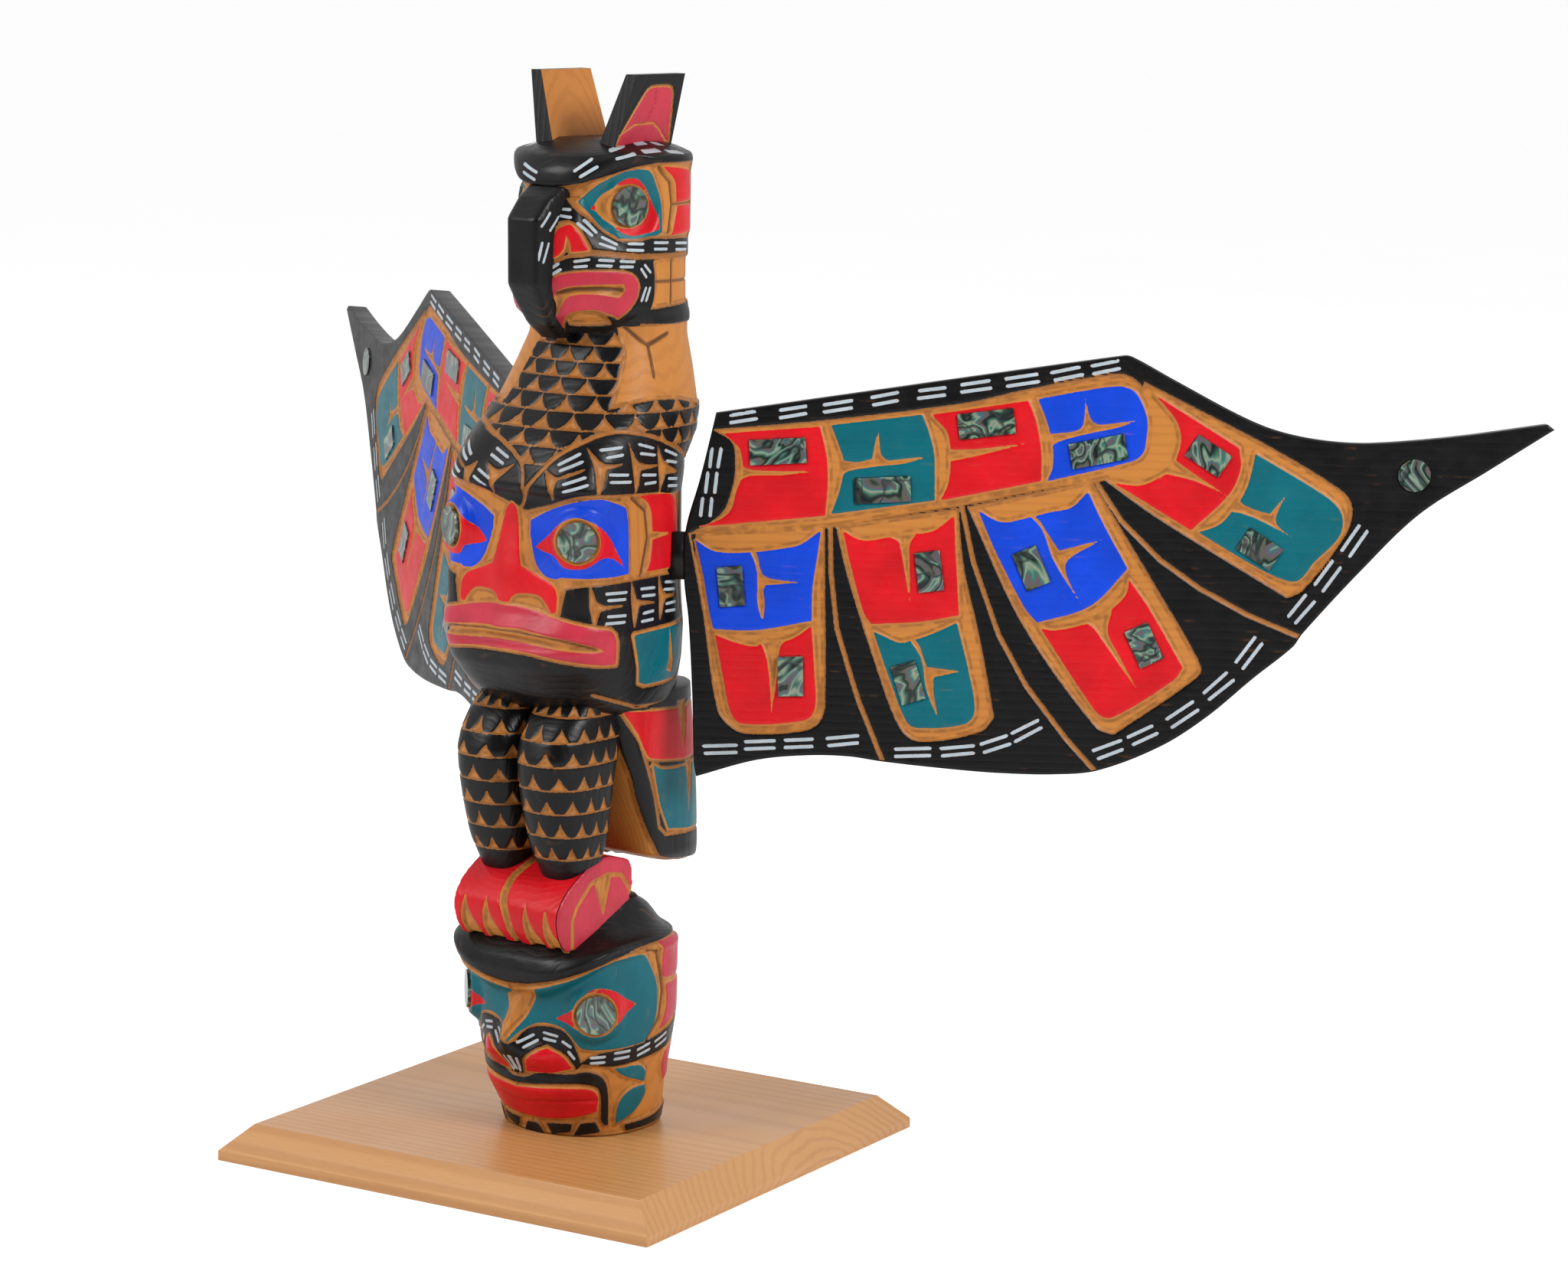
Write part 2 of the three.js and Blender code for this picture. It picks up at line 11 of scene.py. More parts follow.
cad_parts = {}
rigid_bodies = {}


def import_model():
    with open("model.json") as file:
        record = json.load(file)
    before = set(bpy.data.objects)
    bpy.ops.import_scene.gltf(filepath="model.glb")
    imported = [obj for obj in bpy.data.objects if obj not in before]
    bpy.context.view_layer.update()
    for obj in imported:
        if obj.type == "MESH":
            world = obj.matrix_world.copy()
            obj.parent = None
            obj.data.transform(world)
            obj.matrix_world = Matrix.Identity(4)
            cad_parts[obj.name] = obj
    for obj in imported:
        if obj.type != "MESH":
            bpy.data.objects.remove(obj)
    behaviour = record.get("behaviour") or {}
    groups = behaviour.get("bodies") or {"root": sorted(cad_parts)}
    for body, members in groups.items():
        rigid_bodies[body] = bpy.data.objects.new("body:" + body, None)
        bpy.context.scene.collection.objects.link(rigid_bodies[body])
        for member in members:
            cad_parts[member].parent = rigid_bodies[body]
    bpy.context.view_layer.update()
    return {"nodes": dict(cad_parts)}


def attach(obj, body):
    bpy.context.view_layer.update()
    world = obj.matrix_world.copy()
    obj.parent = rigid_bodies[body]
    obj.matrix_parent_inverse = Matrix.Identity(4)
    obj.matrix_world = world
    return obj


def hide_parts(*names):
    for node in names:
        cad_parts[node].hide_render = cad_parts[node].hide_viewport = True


bl_info = {
    "name": "Carved Totem Pole",
    "version": (1, 0, 0),
    "blender": (4, 5, 0),
    "location": "3D View > Sidebar > Totem",
    "description": "Builds the finish of a carved and painted model totem pole",
    "category": "Object",
}

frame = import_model()
MM = 0.001

# ---------------------------------------------------------------- sizes of the carving, millimetres
FOOT = 20.3
POLE_HEIGHT = 555.0
LOG_RADIUS = 50.0
FIGURE_X = 13.0
FIGURE_Y = -5.5
FIGURE_TURN = -6.0
WING_SWEEP = 35.8
WING_LEAN = 4.12
WING_PLANE_Y = -75.4
WING_THICKNESS = 13.0
WING_ROOT = 100.0
WING_LENGTH = 471.0
TENON_LEVEL = FOOT + 0.594 * POLE_HEIGHT

# Forms of the log: level, centre y, front, half width, back, squareness front and back
LOWER_FACE = [
    (0.000, -0.04, 0.86, 0.87, 0.86, 2.2, 2.2),
    (0.018, -0.04, 0.92, 0.91, 0.88, 2.2, 2.2),
    (0.038, -0.08, 0.98, 0.94, 0.94, 2.3, 2.2),
    (0.058, -0.12, 1.00, 0.97, 0.98, 2.4, 2.2),
    (0.090, -0.16, 1.00, 1.04, 1.06, 2.6, 2.2),
    (0.120, -0.20, 1.06, 1.12, 1.10, 2.8, 2.2),
    (0.150, -0.20, 1.04, 1.12, 1.10, 3.0, 2.2),
    (0.158, -0.20, 1.19, 1.16, 1.06, 3.6, 2.2),
    (0.177, -0.20, 1.24, 1.16, 1.00, 3.6, 2.2),
    (0.191, -0.20, 1.20, 1.12, 0.96, 3.4, 2.2),
    (0.205, -0.18, 1.06, 1.02, 0.88, 3.0, 2.2),
    (0.218, -0.16, 0.80, 0.92, 0.78, 3.0, 2.2),
    (0.230, -0.16, 0.56, 0.86, 0.60, 3.0, 2.4),
    (0.242, -0.16, 0.28, 0.80, 0.30, 3.0, 2.4),
]
LEG = [
    (0.262, -0.80, 0.30, 0.33, 0.24, 2.6, 2.6),
    (0.275, -0.80, 0.38, 0.36, 0.26, 2.6, 2.6),
    (0.300, -0.82, 0.50, 0.39, 0.28, 2.6, 2.6),
    (0.342, -0.83, 0.62, 0.43, 0.34, 2.6, 2.6),
    (0.372, -0.84, 0.68, 0.45, 0.40, 2.6, 2.6),
    (0.396, -0.84, 0.70, 0.46, 0.44, 2.6, 2.8),
    (0.414, -0.82, 0.66, 0.45, 0.50, 2.6, 2.8),
    (0.432, -0.78, 0.56, 0.43, 0.56, 2.6, 2.8),
    (0.452, -0.72, 0.38, 0.40, 0.56, 2.6, 2.8),
]
TAIL = [
    (0.262, 0.98, 0.14, 0.60, 0.28, 6, 2.3),
    (0.270, 0.68, 0.36, 0.84, 0.62, 8, 2.3),
    (0.282, 0.40, 0.44, 0.94, 0.92, 8, 2.3),
    (0.300, 0.34, 0.44, 0.95, 0.98, 8, 2.3),
    (0.343, 0.30, 0.60, 0.97, 0.97, 8, 2.3),
    (0.388, 0.24, 0.74, 0.98, 0.96, 8, 2.3),
    (0.437, 0.16, 0.82, 0.99, 0.96, 8, 2.3),
    (0.452, 0.14, 0.84, 0.99, 0.96, 8, 2.3),
]
UPPER_FIGURE = [
    (0.430, -0.16, 0.60, 0.92, 1.00, 2.4, 2.2),
    (0.440, -0.18, 0.96, 1.00, 1.02, 2.6, 2.2),
    (0.456, -0.20, 1.16, 1.06, 1.02, 2.8, 2.2),
    (0.486, -0.22, 1.33, 1.16, 1.00, 3.4, 2.2),
    (0.520, -0.24, 1.34, 1.20, 1.00, 3.7, 2.2),
    (0.540, -0.24, 1.26, 1.17, 1.00, 4.4, 2.2),
    (0.560, -0.24, 1.25, 1.15, 1.00, 5.0, 2.2),
    (0.615, -0.24, 1.21, 1.14, 1.00, 6.0, 2.2),
    (0.655, -0.24, 1.18, 1.12, 1.02, 5.0, 2.2),
    (0.664, -0.24, 1.29, 1.13, 1.04, 4.6, 2.2),
    (0.685, -0.22, 1.24, 1.12, 1.08, 3.8, 2.2),
    (0.712, -0.06, 1.24, 1.14, 1.10, 2.8, 2.2),
    (0.738, 0.00, 1.02, 1.12, 1.12, 2.3, 2.2),
    (0.775, 0.10, 0.86, 1.00, 1.00, 2.3, 2.2),
    (0.807, 0.16, 0.76, 0.88, 0.92, 2.3, 2.2),
    (0.828, 0.16, 0.76, 0.88, 0.92, 2.4, 2.2),
    (0.836, 0.10, 0.86, 0.90, 0.92, 2.2, 2.2),
    (0.865, 0.09, 0.90, 0.90, 0.92, 2.2, 2.2),
    (0.930, 0.09, 0.94, 0.89, 0.92, 2.2, 2.2),
    (0.948, 0.09, 0.96, 0.89, 0.91, 2.2, 2.2),
    (0.956, 0.09, 1.06, 0.93, 0.90, 2.2, 2.2),
    (0.972, 0.09, 1.04, 0.92, 0.88, 2.2, 2.2),
    (0.986, 0.09, 0.94, 0.86, 0.84, 2.2, 2.2),
    (0.994, 0.09, 0.72, 0.74, 0.76, 2.1, 2.2),
    (1.000, 0.09, 0.44, 0.50, 0.52, 2.1, 2.2),
]
BEAK = [
    (0.806, -0.40, 0.42, 0.16, 0.40, 7, 4),
    (0.820, -0.40, 0.62, 0.20, 0.40, 7, 4),
    (0.840, -0.40, 0.78, 0.24, 0.40, 7, 4),
    (0.860, -0.40, 0.92, 0.26, 0.40, 7, 4),
    (0.925, -0.40, 0.94, 0.26, 0.40, 7, 4),
    (0.945, -0.40, 0.74, 0.26, 0.40, 7, 4),
    (0.955, -0.40, 0.56, 0.26, 0.40, 7, 4),
]
SNOUT = [
    (0.812, -0.10, 0.70, 0.64, 0.60, 1.9, 2.2),
    (0.830, -0.10, 0.94, 0.82, 0.60, 1.8, 2.2),
    (0.860, -0.10, 1.08, 0.88, 0.60, 1.7, 2.2),
    (0.915, -0.10, 1.06, 0.86, 0.60, 1.7, 2.2),
    (0.945, -0.10, 0.84, 0.80, 0.60, 1.8, 2.2),
]
LEG_X = 0.43
LEG_CENTRE_Y = -41.5
LEG_MM_PER_DEGREE = 0.48
# Rows of scales: height of each row and distance between its spikes
BREAST_ROWS = [(464, 18.2), (455.5, 16.2), (447, 15.3), (438.5, 14.8), (429.5, 13.6), (420.5, 12.5), (411.5, 11.3),
               (402.5, 10.6)]
LEG_ROWS = [(level, 12.6) for level in (276, 263, 250, 237, 223.5, 210, 196.5, 183)]
BLOCK_PROFILE = [
    (-1.24, 0.198), (-1.40, 0.214), (-1.46, 0.232), (-1.44, 0.246), (-1.30, 0.262), (-1.06, 0.276),
    (-0.84, 0.286), (-0.60, 0.290), (-0.36, 0.286), (-0.16, 0.280), (-0.13, 0.244), (-0.40, 0.222),
]
BLOCK_HALF = 38.0
# Swellings of the carving: angle, level, height in log radii, spread in degrees and in level
LOWER_SWELLS = [
    (50, 0.130, -0.12, 24, 0.026), (50, 0.136, 0.12, 13, 0.017), (16, 0.088, 0.16, 11, 0.014),
    (0, 0.095, 0.20, 9, 0.024), (0, 0.050, 0.10, 36, 0.014),
]
UPPER_SWELLS = [
    (38, 0.616, -0.12, 20, 0.030), (38, 0.616, 0.13, 11, 0.019), (0, 0.575, 0.08, 12, 0.040),
    (0, 0.512, 0.07, 50, 0.022), (0, 0.512, -0.10, 36, 0.006), (56, 0.934, -0.15, 22, 0.019),
    (58, 0.937, 0.08, 14, 0.014),
]

# Painted zones of the pole: centre y and radius that turn a side angle into millimetres
HEAD_ZONE = (3.5, 46.0)
BODY_ZONE = (-20.0, 60.0)
NECK_ZONE = (8.0, 46.0)
LOW_ZONE = (-10.0, 50.0)
TAIL_ZONE = (15.0, 48.0)

# ---------------------------------------------------------------- paint by layers
PAINTS = ("black", "red", "rose", "teal", "blue", "dash")
# Paint distances are kept up to this many millimetres from an edge
REACH = 3.0
# The head's painting takes over from the body's above this height
HEAD_FROM = 475


class Carving:
    """Distances, in millimetres, from each point to the edge of each paint"""

    def __init__(self, points, base="black"):
        self.points = points
        count = len(points)
        self.paint = {name: np.full(count, REACH if name == base else -REACH) for name in PAINTS}
        self.cut = np.full(count, -REACH)

    def lay(self, colour, chosen, inside):
        for name, field in self.paint.items():
            if name == colour:
                field[chosen] = np.maximum(field[chosen], np.clip(inside, -REACH, REACH))
            else:
                field[chosen] = np.minimum(field[chosen], np.clip(-inside, -REACH, REACH))

    def area(self, colour, outline, rim=0.0):
        """A painted area, with a rim of bare wood where one is carved round it"""
        outline = curved(np.asarray(outline, float), 2.0)
        chosen = near(self.points, outline, REACH + rim)
        if len(chosen) == 0:
            return
        inside = polygon_distance(self.points[chosen], outline)
        if rim:
            self.lay("wood", chosen, inside + rim)
        self.lay(colour, chosen, inside)

    def stroke(self, colour, path, width):
        path = np.asarray(path, float)
        chosen = near(self.points, path, REACH + width)
        if len(chosen):
            self.lay(colour, chosen, width / 2 - path_distance(self.points[chosen], path))

    # A carved cut; the material also darkens it with painted shade
    def groove(self, path, width):
        path = np.asarray(path, float)
        chosen = near(self.points, path, REACH + width)
        if len(chosen):
            inside = width / 2 - path_distance(self.points[chosen], path)
            self.cut[chosen] = np.maximum(self.cut[chosen], np.clip(inside, -REACH, REACH))

    def dashes(self, pairs, width=1.7):
        for start, end in pairs:
            self.stroke("dash", (start, end), width)

    def bare(self):
        return np.min([-field for field in self.paint.values()], axis=0)

    def depth(self):
        wood = np.clip(self.bare() + 0.15, 0, 1.5) * 0.85
        return np.maximum(wood, 0) + np.clip(self.cut + 0.1, 0, 1.2) * 0.9


def joined(carvings, points):
    """One carving from several, in their order"""
    whole = Carving(points)
    whole.paint = {name: np.concatenate([c.paint[name] for c in carvings]) for name in PAINTS}
    whole.cut = np.concatenate([c.cut for c in carvings])
    return whole


def near(points, outline, margin):
    low = outline.min(0) - margin
    high = outline.max(0) + margin
    return np.nonzero(((points >= low) & (points <= high)).all(1))[0]


def segment_distance(points, start, end):
    along = end - start
    length = max(float(along @ along), 1e-9)
    share = np.clip(((points - start) @ along) / length, 0, 1)
    return np.sqrt(((points - start - share[:, None] * along) ** 2).sum(1))


def path_distance(points, path):
    distance = np.full(len(points), 1e6)
    for start, end in zip(path[:-1], path[1:]):
        distance = np.minimum(distance, segment_distance(points, start, end))
    return distance


def polygon_distance(points, outline):
    """Distance to a closed outline, positive inside"""
    inside = np.zeros(len(points), bool)
    distance = np.full(len(points), 1e6)
    x, y = points[:, 0], points[:, 1]
    for start, end in zip(outline, np.roll(outline, -1, axis=0)):
        distance = np.minimum(distance, segment_distance(points, start, end))
        if start[1] != end[1]:
            crosses = (start[1] > y) != (end[1] > y)
            inside ^= crosses & (x < (end[0] - start[0]) * (y - start[1]) / (end[1] - start[1]) + start[0])
    return np.where(inside, distance, -distance)


def rounded(outline, passes=1):
    """A closed outline with its corners cut, as a brush or a gouge leaves them"""
    points = np.asarray(outline, float)
    for _ in range(passes):
        after = np.roll(points, -1, axis=0)
        points = np.stack([points * 0.78 + after * 0.22, points * 0.22 + after * 0.78], 1).reshape(-1, 2)
    return points


def curved(points, spacing, bend=0.62):
    """A closed outline through its points, curved between its sharp corners"""
    steps = np.roll(points, -1, 0) - points
    lengths = np.maximum(np.linalg.norm(steps, axis=1), 1e-6)
    ways = steps / lengths[:, None]
    before = np.roll(ways, 1, 0)
    smooth = (ways * before).sum(1) > bend
    mean = steps + np.roll(steps, 1, 0)
    mean = mean / np.maximum(np.linalg.norm(mean, axis=1, keepdims=True), 1e-6)
    curve = []
    for k, start in enumerate(points):
        after = (k + 1) % len(points)
        leave = mean[k] if smooth[k] else ways[k]
        arrive = mean[after] if smooth[after] else ways[k]
        for t in np.linspace(0, 1, max(int(lengths[k] / spacing), 1), endpoint=False):
            h1, h2 = 2 * t ** 3 - 3 * t ** 2 + 1, t ** 3 - 2 * t ** 2 + t
            h3, h4 = -2 * t ** 3 + 3 * t ** 2, t ** 3 - t ** 2
            curve.append(h1 * start + h3 * points[after] + lengths[k] * (h2 * leave + h4 * arrive))
    return np.array(curve)


def towards_middle(outline, shift=5.0, spread=42.0):
    """Places on a face's flat front lie a little nearer its middle than on its round sides"""
    points = np.asarray(outline, float).copy()
    points[..., 0] -= shift * np.exp(-(points[..., 0] / spread) ** 2)
    return points


def scales(carving, rows, height, low, high):
    """Rows of overlapping scales: bare spikes with hollow sides stand between round black ends"""
    for index, (level, pitch) in enumerate(rows):
        half = 0.36 * pitch
        place = -math.floor(-low / pitch) * pitch + (pitch / 2 if index % 2 else 0)
        while place < high:
            arc = np.linspace(0, 1, 5)
            left = [(place - half * (1 - t) ** 1.6, level + height * t) for t in arc]
            right = [(place + half * (1 - t) ** 1.6, level + height * t) for t in arc[::-1][1:]]
            carving.area("wood", left + right)
            place += pitch
        line = [(s, level) for s in np.arange(low, high, 6.0)]
        carving.stroke("wood", line, 1.0)


# ---------------------------------------------------------------- the painting of each form
def paint_body(carving, side, swing, neck):
    """The middle face, neck and breast; side and neck hold unmirrored places, swing the mirrored ones"""
    carving.points = neck
    scales(carving, BREAST_ROWS, 8.3, -110, 110)
    carving.points = side
    carving.area("wood", [(-60, 481), (-64, 466), (-50, 432), (-90, 431), (-150, 431), (-150, 481)])
    carving.points = swing
    carving.area("wood", [(89, 481), (175, 477), (170, 431), (139, 431), (117, 435), (95, 435), (68, 431),
                          (84, 451), (93, 465)])
    carving.groove([(92, 477), (111, 465), (129, 470)], 2.2)
    carving.groove([(111, 465), (107, 448)], 2.0)
    # Brow
    top = [(9, 378), (13, 385), (24, 398), (34, 407), (46, 413), (59, 417.5), (73, 419), (95, 415), (117, 407),
           (136, 399)]
    low = [(8, 377), (12, 376.5), (18, 378), (29, 381), (46, 387), (65, 387), (84, 386), (103, 385), (131, 380)]
    carving.points = side
    carving.area("black", np.vstack([top, [(150, 396), (150, 379)], low[::-1]]), 2.4)
    carving.area("black", [(6, 377), (9.5, 384), (10, 394), (6, 402), (-14, 411), (-34, 416), (-50, 419),
                           (-73, 419), (-95, 416), (-117, 407), (-136, 399), (-150, 396), (-150, 379),
                           (-131, 380), (-103, 385), (-84, 386), (-65, 388), (-46, 389), (-30, 388),
                           (-14, 382.5), (0, 377)], 2.4)
    carving.area("wood", [(-18, 400), (-9, 397), (3, 401), (-5, 394.5), (-9, 391), (-15, 383), (-13.5, 392)], 0.3)
    carving.dashes([
        [(-18, 404.5), (-6, 400.5)], [(-16, 408), (-4, 404)], [(-25, 392), (-17, 388)],
        [(-23, 396), (-14, 392)],
    ], 1.6)
    carving.points = swing
    carving.stroke("wood", [(150, 398), (137, 398), (134, 390), (134, 380)], 2.6)
    for fork in (
        [(29, 400), (33, 397), (37, 396), (49, 401), (38, 397), (35, 394), (33, 383), (31, 392)],
        [(51, 412), (57, 405), (61, 403), (70, 403), (60, 401), (57, 390), (55, 387), (54, 403)],
        [(76, 414), (80, 405), (85, 402), (99, 400), (84, 399), (82, 390), (80, 387), (78, 402)],
        [(99, 411), (105, 402), (110, 399), (120, 395), (107, 395), (104, 390), (102, 386), (101, 400)],
    ):
        carving.area("wood", towards_middle(fork), 0.5)
    carving.dashes(towards_middle([
        [(36, 403), (47, 409)], [(37, 400), (48, 405)], [(39, 393), (49, 397)], [(39, 389), (50, 393)],
        [(58, 411), (71, 412)], [(61, 407), (71, 408)], [(62, 398), (74, 397)], [(62, 394), (76, 393)],
        [(83, 413), (95, 410)], [(84, 408), (97, 406)], [(86, 396), (98, 395)], [(88, 391), (98, 391)],
        [(106, 408), (118, 404)], [(108, 402), (119, 400)], [(110, 392), (120, 391)], [(110, 388), (121, 387)],
    ]), 1.6)
    # Eye socket, lids and ring
    carving.area("wood", [(5, 375), (12, 374.5), (18, 376), (29, 379), (46, 384), (103, 382), (150, 378),
                          (150, 338), (36, 336), (16, 342), (6, 356), (2, 370)])
    carving.points = side
    carving.area("wood", [(2, 379), (-14, 383), (-30, 388.5), (-46, 389.5), (-65, 388.5), (-84, 386.5),
                          (-103, 385.5), (-131, 381), (-131, 374), (-65, 378), (-46, 378), (-18, 372),
                          (2, 372)])
    carving.points = swing
    carving.area("blue", towards_middle([(19, 371), (30, 377), (44, 383), (56, 385), (66, 382), (73, 379),
                                         (75, 369), (75, 343), (48, 341), (39, 341), (29, 342), (21, 349)]))
    carving.area("red", towards_middle([(23, 357), (32, 365), (38, 372), (43, 375), (48, 375), (55, 371),
                                        (62, 363), (72, 346), (64, 352), (57, 353), (50, 348), (43, 347),
                                        (39, 348), (35, 353), (28, 355)]))
    # Red panel at the temple, with a spike
    carving.area("wood", [(66, 387), (84, 384), (150, 384), (150, 340), (76, 341), (76, 369), (72, 380)])
    carving.area("red", [(80, 385), (114, 383), (120, 378), (122, 344), (117, 342), (88, 340), (93, 348),
                         (95, 360), (95, 363), (94, 376), (89, 382)])
    carving.area("wood", [(93, 364), (110, 361.8), (93, 360)], 0.5)
    carving.groove([(78, 384), (90, 376), (92, 361), (86, 341)], 2.2)
    carving.area("black", [(126, 384), (150, 384), (150, 340), (126, 340)])
    # Nose and nostrils
    carving.area("wood", [(0, 381), (4, 379), (12, 376), (20, 349), (27, 342), (40, 338), (40, 318), (0, 318)])
    carving.area("red", [(-4, 381), (3, 378), (6, 370), (9, 353), (11, 346), (24, 341), (31, 338), (34, 333),
                         (34, 323), (31, 322), (28, 327), (23, 331), (10, 331), (6, 329), (3, 325), (-4, 323)])
    # Cheeks
    carving.area("wood", [(35, 342), (150, 343), (150, 336), (36, 336)])
    carving.area("black", towards_middle([(41, 336), (54, 338), (130, 339), (150, 338), (150, 310), (53, 315),
                                          (38, 319)]))
    for fork in (
        [(52, 338), (55, 329), (58, 327), (70, 326), (57, 325), (54, 316), (52, 327)],
        [(77, 338), (81, 328), (84, 327), (96, 325), (83, 325), (78, 313), (77, 326)],
        [(101, 339), (105, 329), (108, 328), (118, 327), (106, 326), (100, 315), (101, 326)],
    ):
        carving.area("wood", towards_middle(fork), 0.5)
    carving.dashes(towards_middle([
        [(60, 333.5), (73, 333)], [(61, 329.8), (72, 329.3)], [(61, 321), (72, 320.5)],
        [(60, 317.3), (71, 317)], [(85, 333.5), (97, 333)], [(86, 329.5), (97, 329)], [(86, 320), (95, 320.5)],
        [(84, 315.8), (94, 316)], [(107, 335), (118, 334)], [(106, 331), (117, 330)], [(107, 323), (117, 323)],
        [(106, 319), (116, 318.6)],
    ]), 1.6)
    carving.stroke("wood", [(124, 340), (124, 316)], 2.2)
    # Lips
    lips = [(-6, 323), (8, 324), (24, 322), (36, 319), (55, 314.5), (62, 313), (65, 308), (66, 294),
            (59, 294), (38, 297), (18, 300), (-6, 300.5)]
    carving.area("rose", lips, 2.0)
    carving.area("wood", [(-6, 311.5), (12, 312.5), (38, 309), (54, 304.5), (59, 302), (54, 301.5), (38, 302.5),
                          (12, 304.5), (-6, 304.5)])
    carving.groove([(-6, 310), (12, 310.8), (38, 307.3), (54, 303.2)], 1.6)
    # Cheek tile and jaw
    carving.area("teal", [(77, 309), (124, 311), (128, 296), (126, 280), (94, 279), (87, 281)], 2.2)
    carving.area("wood", [(108, 310), (118, 283), (112, 285)], 0.2)
    carving.stroke("wood", [(55, 276), (72, 271), (91, 266), (120, 265), (160, 264)], 2.2)
    carving.area("wood", [(164, 500), (200, 500), (200, 262), (164, 262)])


def paint_head(carving, side):
    """The bird's head, snout and beak; side holds unmirrored places"""
    swing = carving.points
    carving.area("wood", [(0, 550), (11, 550), (21, 552), (30, 555), (40, 558), (50, 561), (61, 563),
                          (100, 563), (100, 512), (52, 513), (33, 515), (22, 518), (12, 530), (8, 540)])
    brow_low = [(0, 548), (11, 550), (21, 552), (30, 555), (40, 558), (50, 561), (61, 563), (100, 563)]
    carving.area("black", brow_low + [(200, 563), (200, 640), (0, 640)])
    carving.stroke("wood", brow_low, 2.0)
    carving.points = side
    carving.dashes([
        [(17, 559.5), (25, 566)], [(20, 556.5), (28, 562)], [(-16, 561.5), (-5, 557.5)],
        [(-15, 557), (-6, 553.5)],
    ])
    carving.points = swing
    carving.dashes([
        [(35, 570.5), (46, 573)], [(38, 566.5), (48, 569)], [(57, 573.5), (69, 574)], [(55, 570), (68, 570.5)],
        [(77, 573.5), (84, 573)], [(74, 569.8), (84, 569)],
    ])
    carving.area("teal", [(18, 543), (27, 551), (38, 557), (48, 560), (58, 559.5), (63, 553), (67, 542),
                          (67, 526), (57, 521.5), (45, 521), (35, 524), (26, 534)])
    carving.area("red", [(24, 539), (32, 546), (40, 553), (46, 555.5), (52, 555), (58, 550), (64, 538),
                         (65.5, 528), (58, 526), (48, 524.5), (39, 528), (33, 535)])
    carving.area("wood", [(66, 561), (71, 557), (75, 549), (77, 541), (74, 524), (68, 524), (68.5, 542), (64, 556)])
    carving.area("red", [(66, 562), (92, 559), (98, 556), (98, 543), (79, 542), (77, 554)])
    carving.area("red", [(80, 540), (98, 540), (98, 525), (75, 524)])
    carving.groove([(77, 541.3), (99, 541.3)], 1.8)
    carving.groove([(64, 561), (74, 553), (76, 541), (73, 525)], 1.8)
    band = [(8, 545), (11, 547), (16, 541), (24, 534), (32, 527), (40, 522.5), (49, 522), (62, 523.5), (100, 522)]
    under = [(100, 513), (52, 514), (33, 516), (27, 517), (22, 527), (18, 532), (14, 533), (9, 531),
             (5, 523), (4, 507)]
    carving.area("black", band + under + [(0, 507), (0, 545)])
    carving.stroke("wood", [(5, 548)] + band, 1.6)
    carving.stroke("wood", [(27, 516.5), (33, 516), (52, 514), (100, 513)], 1.6)
    carving.dashes([
        [(9, 539), (15, 538.5)], [(10, 535.5), (16, 534.5)], [(22, 533), (28, 526.5)],
        [(19.5, 531.5), (26, 525)], [(31, 524), (39, 520)], [(30, 520.6), (38, 517.8)],
        [(46, 520.3), (55, 520)], [(45, 517), (55, 516.5)], [(63, 520.5), (74, 520)], [(63, 517), (73, 516.6)],
        [(82, 519.5), (98, 518.5)], [(82, 516), (97, 515)],
    ], 1.5)
    # Nostril and lips
    carving.area("red", [(8, 511), (10, 524), (12, 529), (16.5, 531), (20, 527), (25, 517), (17.5, 516),
                         (16.5, 522), (15, 525), (13.5, 516)], 1.6)
    lip = [(5, 508), (16, 513.5), (27, 515), (52, 512.5), (100, 511.5)]
    carving.area("black", lip + [(100, 506), (62, 504), (52, 500), (27, 506), (13, 504), (5, 494), (0, 494),
                                 (0, 508)])
    carving.stroke("wood", lip, 1.7)
    carving.area("black", [(50, 507), (62, 507), (62, 484), (52, 481)])
    carving.dashes([
        [(7, 505), (12, 509.5)], [(7, 501.5), (13, 506.5)], [(19, 511), (25, 512)], [(19, 508), (24, 508.5)],
        [(30, 511.8), (37, 511.3)], [(29, 508.8), (36, 508.5)], [(41, 511), (49, 510.5)],
        [(41, 508), (48, 507.8)], [(56, 508.5), (60, 504.5)], [(53.5, 506.5), (57, 502)],
        [(57, 496), (54.5, 489)], [(60, 496), (57.5, 489)],
    ], 1.5)
    carving.area("rose", [(3, 486), (7, 498), (13, 503.5), (27, 505.5), (45, 504.5), (51, 500), (51.5, 492),
                          (48, 486), (41, 480), (33, 483), (28, 484.5), (17, 483), (12, 478), (6, 468),
                          (1, 466), (1, 478)], 1.2)
    carving.area("wood", [(8, 480), (9, 488), (12, 495), (18, 497.5), (31, 498.5), (43, 498.5), (44, 495),
                          (41, 491), (28, 493), (17, 492), (13, 487), (10, 481)])
    carving.groove([(11, 493), (19, 495.5), (31, 496), (42, 495)], 2.4)
    carving.area("wood", [(13, 479), (18, 483), (28, 483.5), (35, 480), (38, 476), (27, 475), (14, 475)])
    # Carved bricks behind the mouth
    carving.area("wood", [(62, 511), (70, 512), (130, 511), (130, 487), (100, 486), (61, 484), (63, 490),
                          (63.5, 500)])
    carving.groove([(64, 499), (130, 498)], 1.8)
    carving.groove([(79, 511), (79, 486)], 1.8)
    carving.groove([(100, 511), (100, 486)], 1.8)
    carving.area("black", [(49, 480), (60, 483.5), (100, 484.5), (128, 484), (128, 476), (59, 477)])
    carving.stroke("wood", [(56, 475.5), (78, 474.5), (100, 474.5), (130, 475)], 1.6)
    carving.area("wood", [(126, 600), (160, 600), (160, 470), (126, 470)])


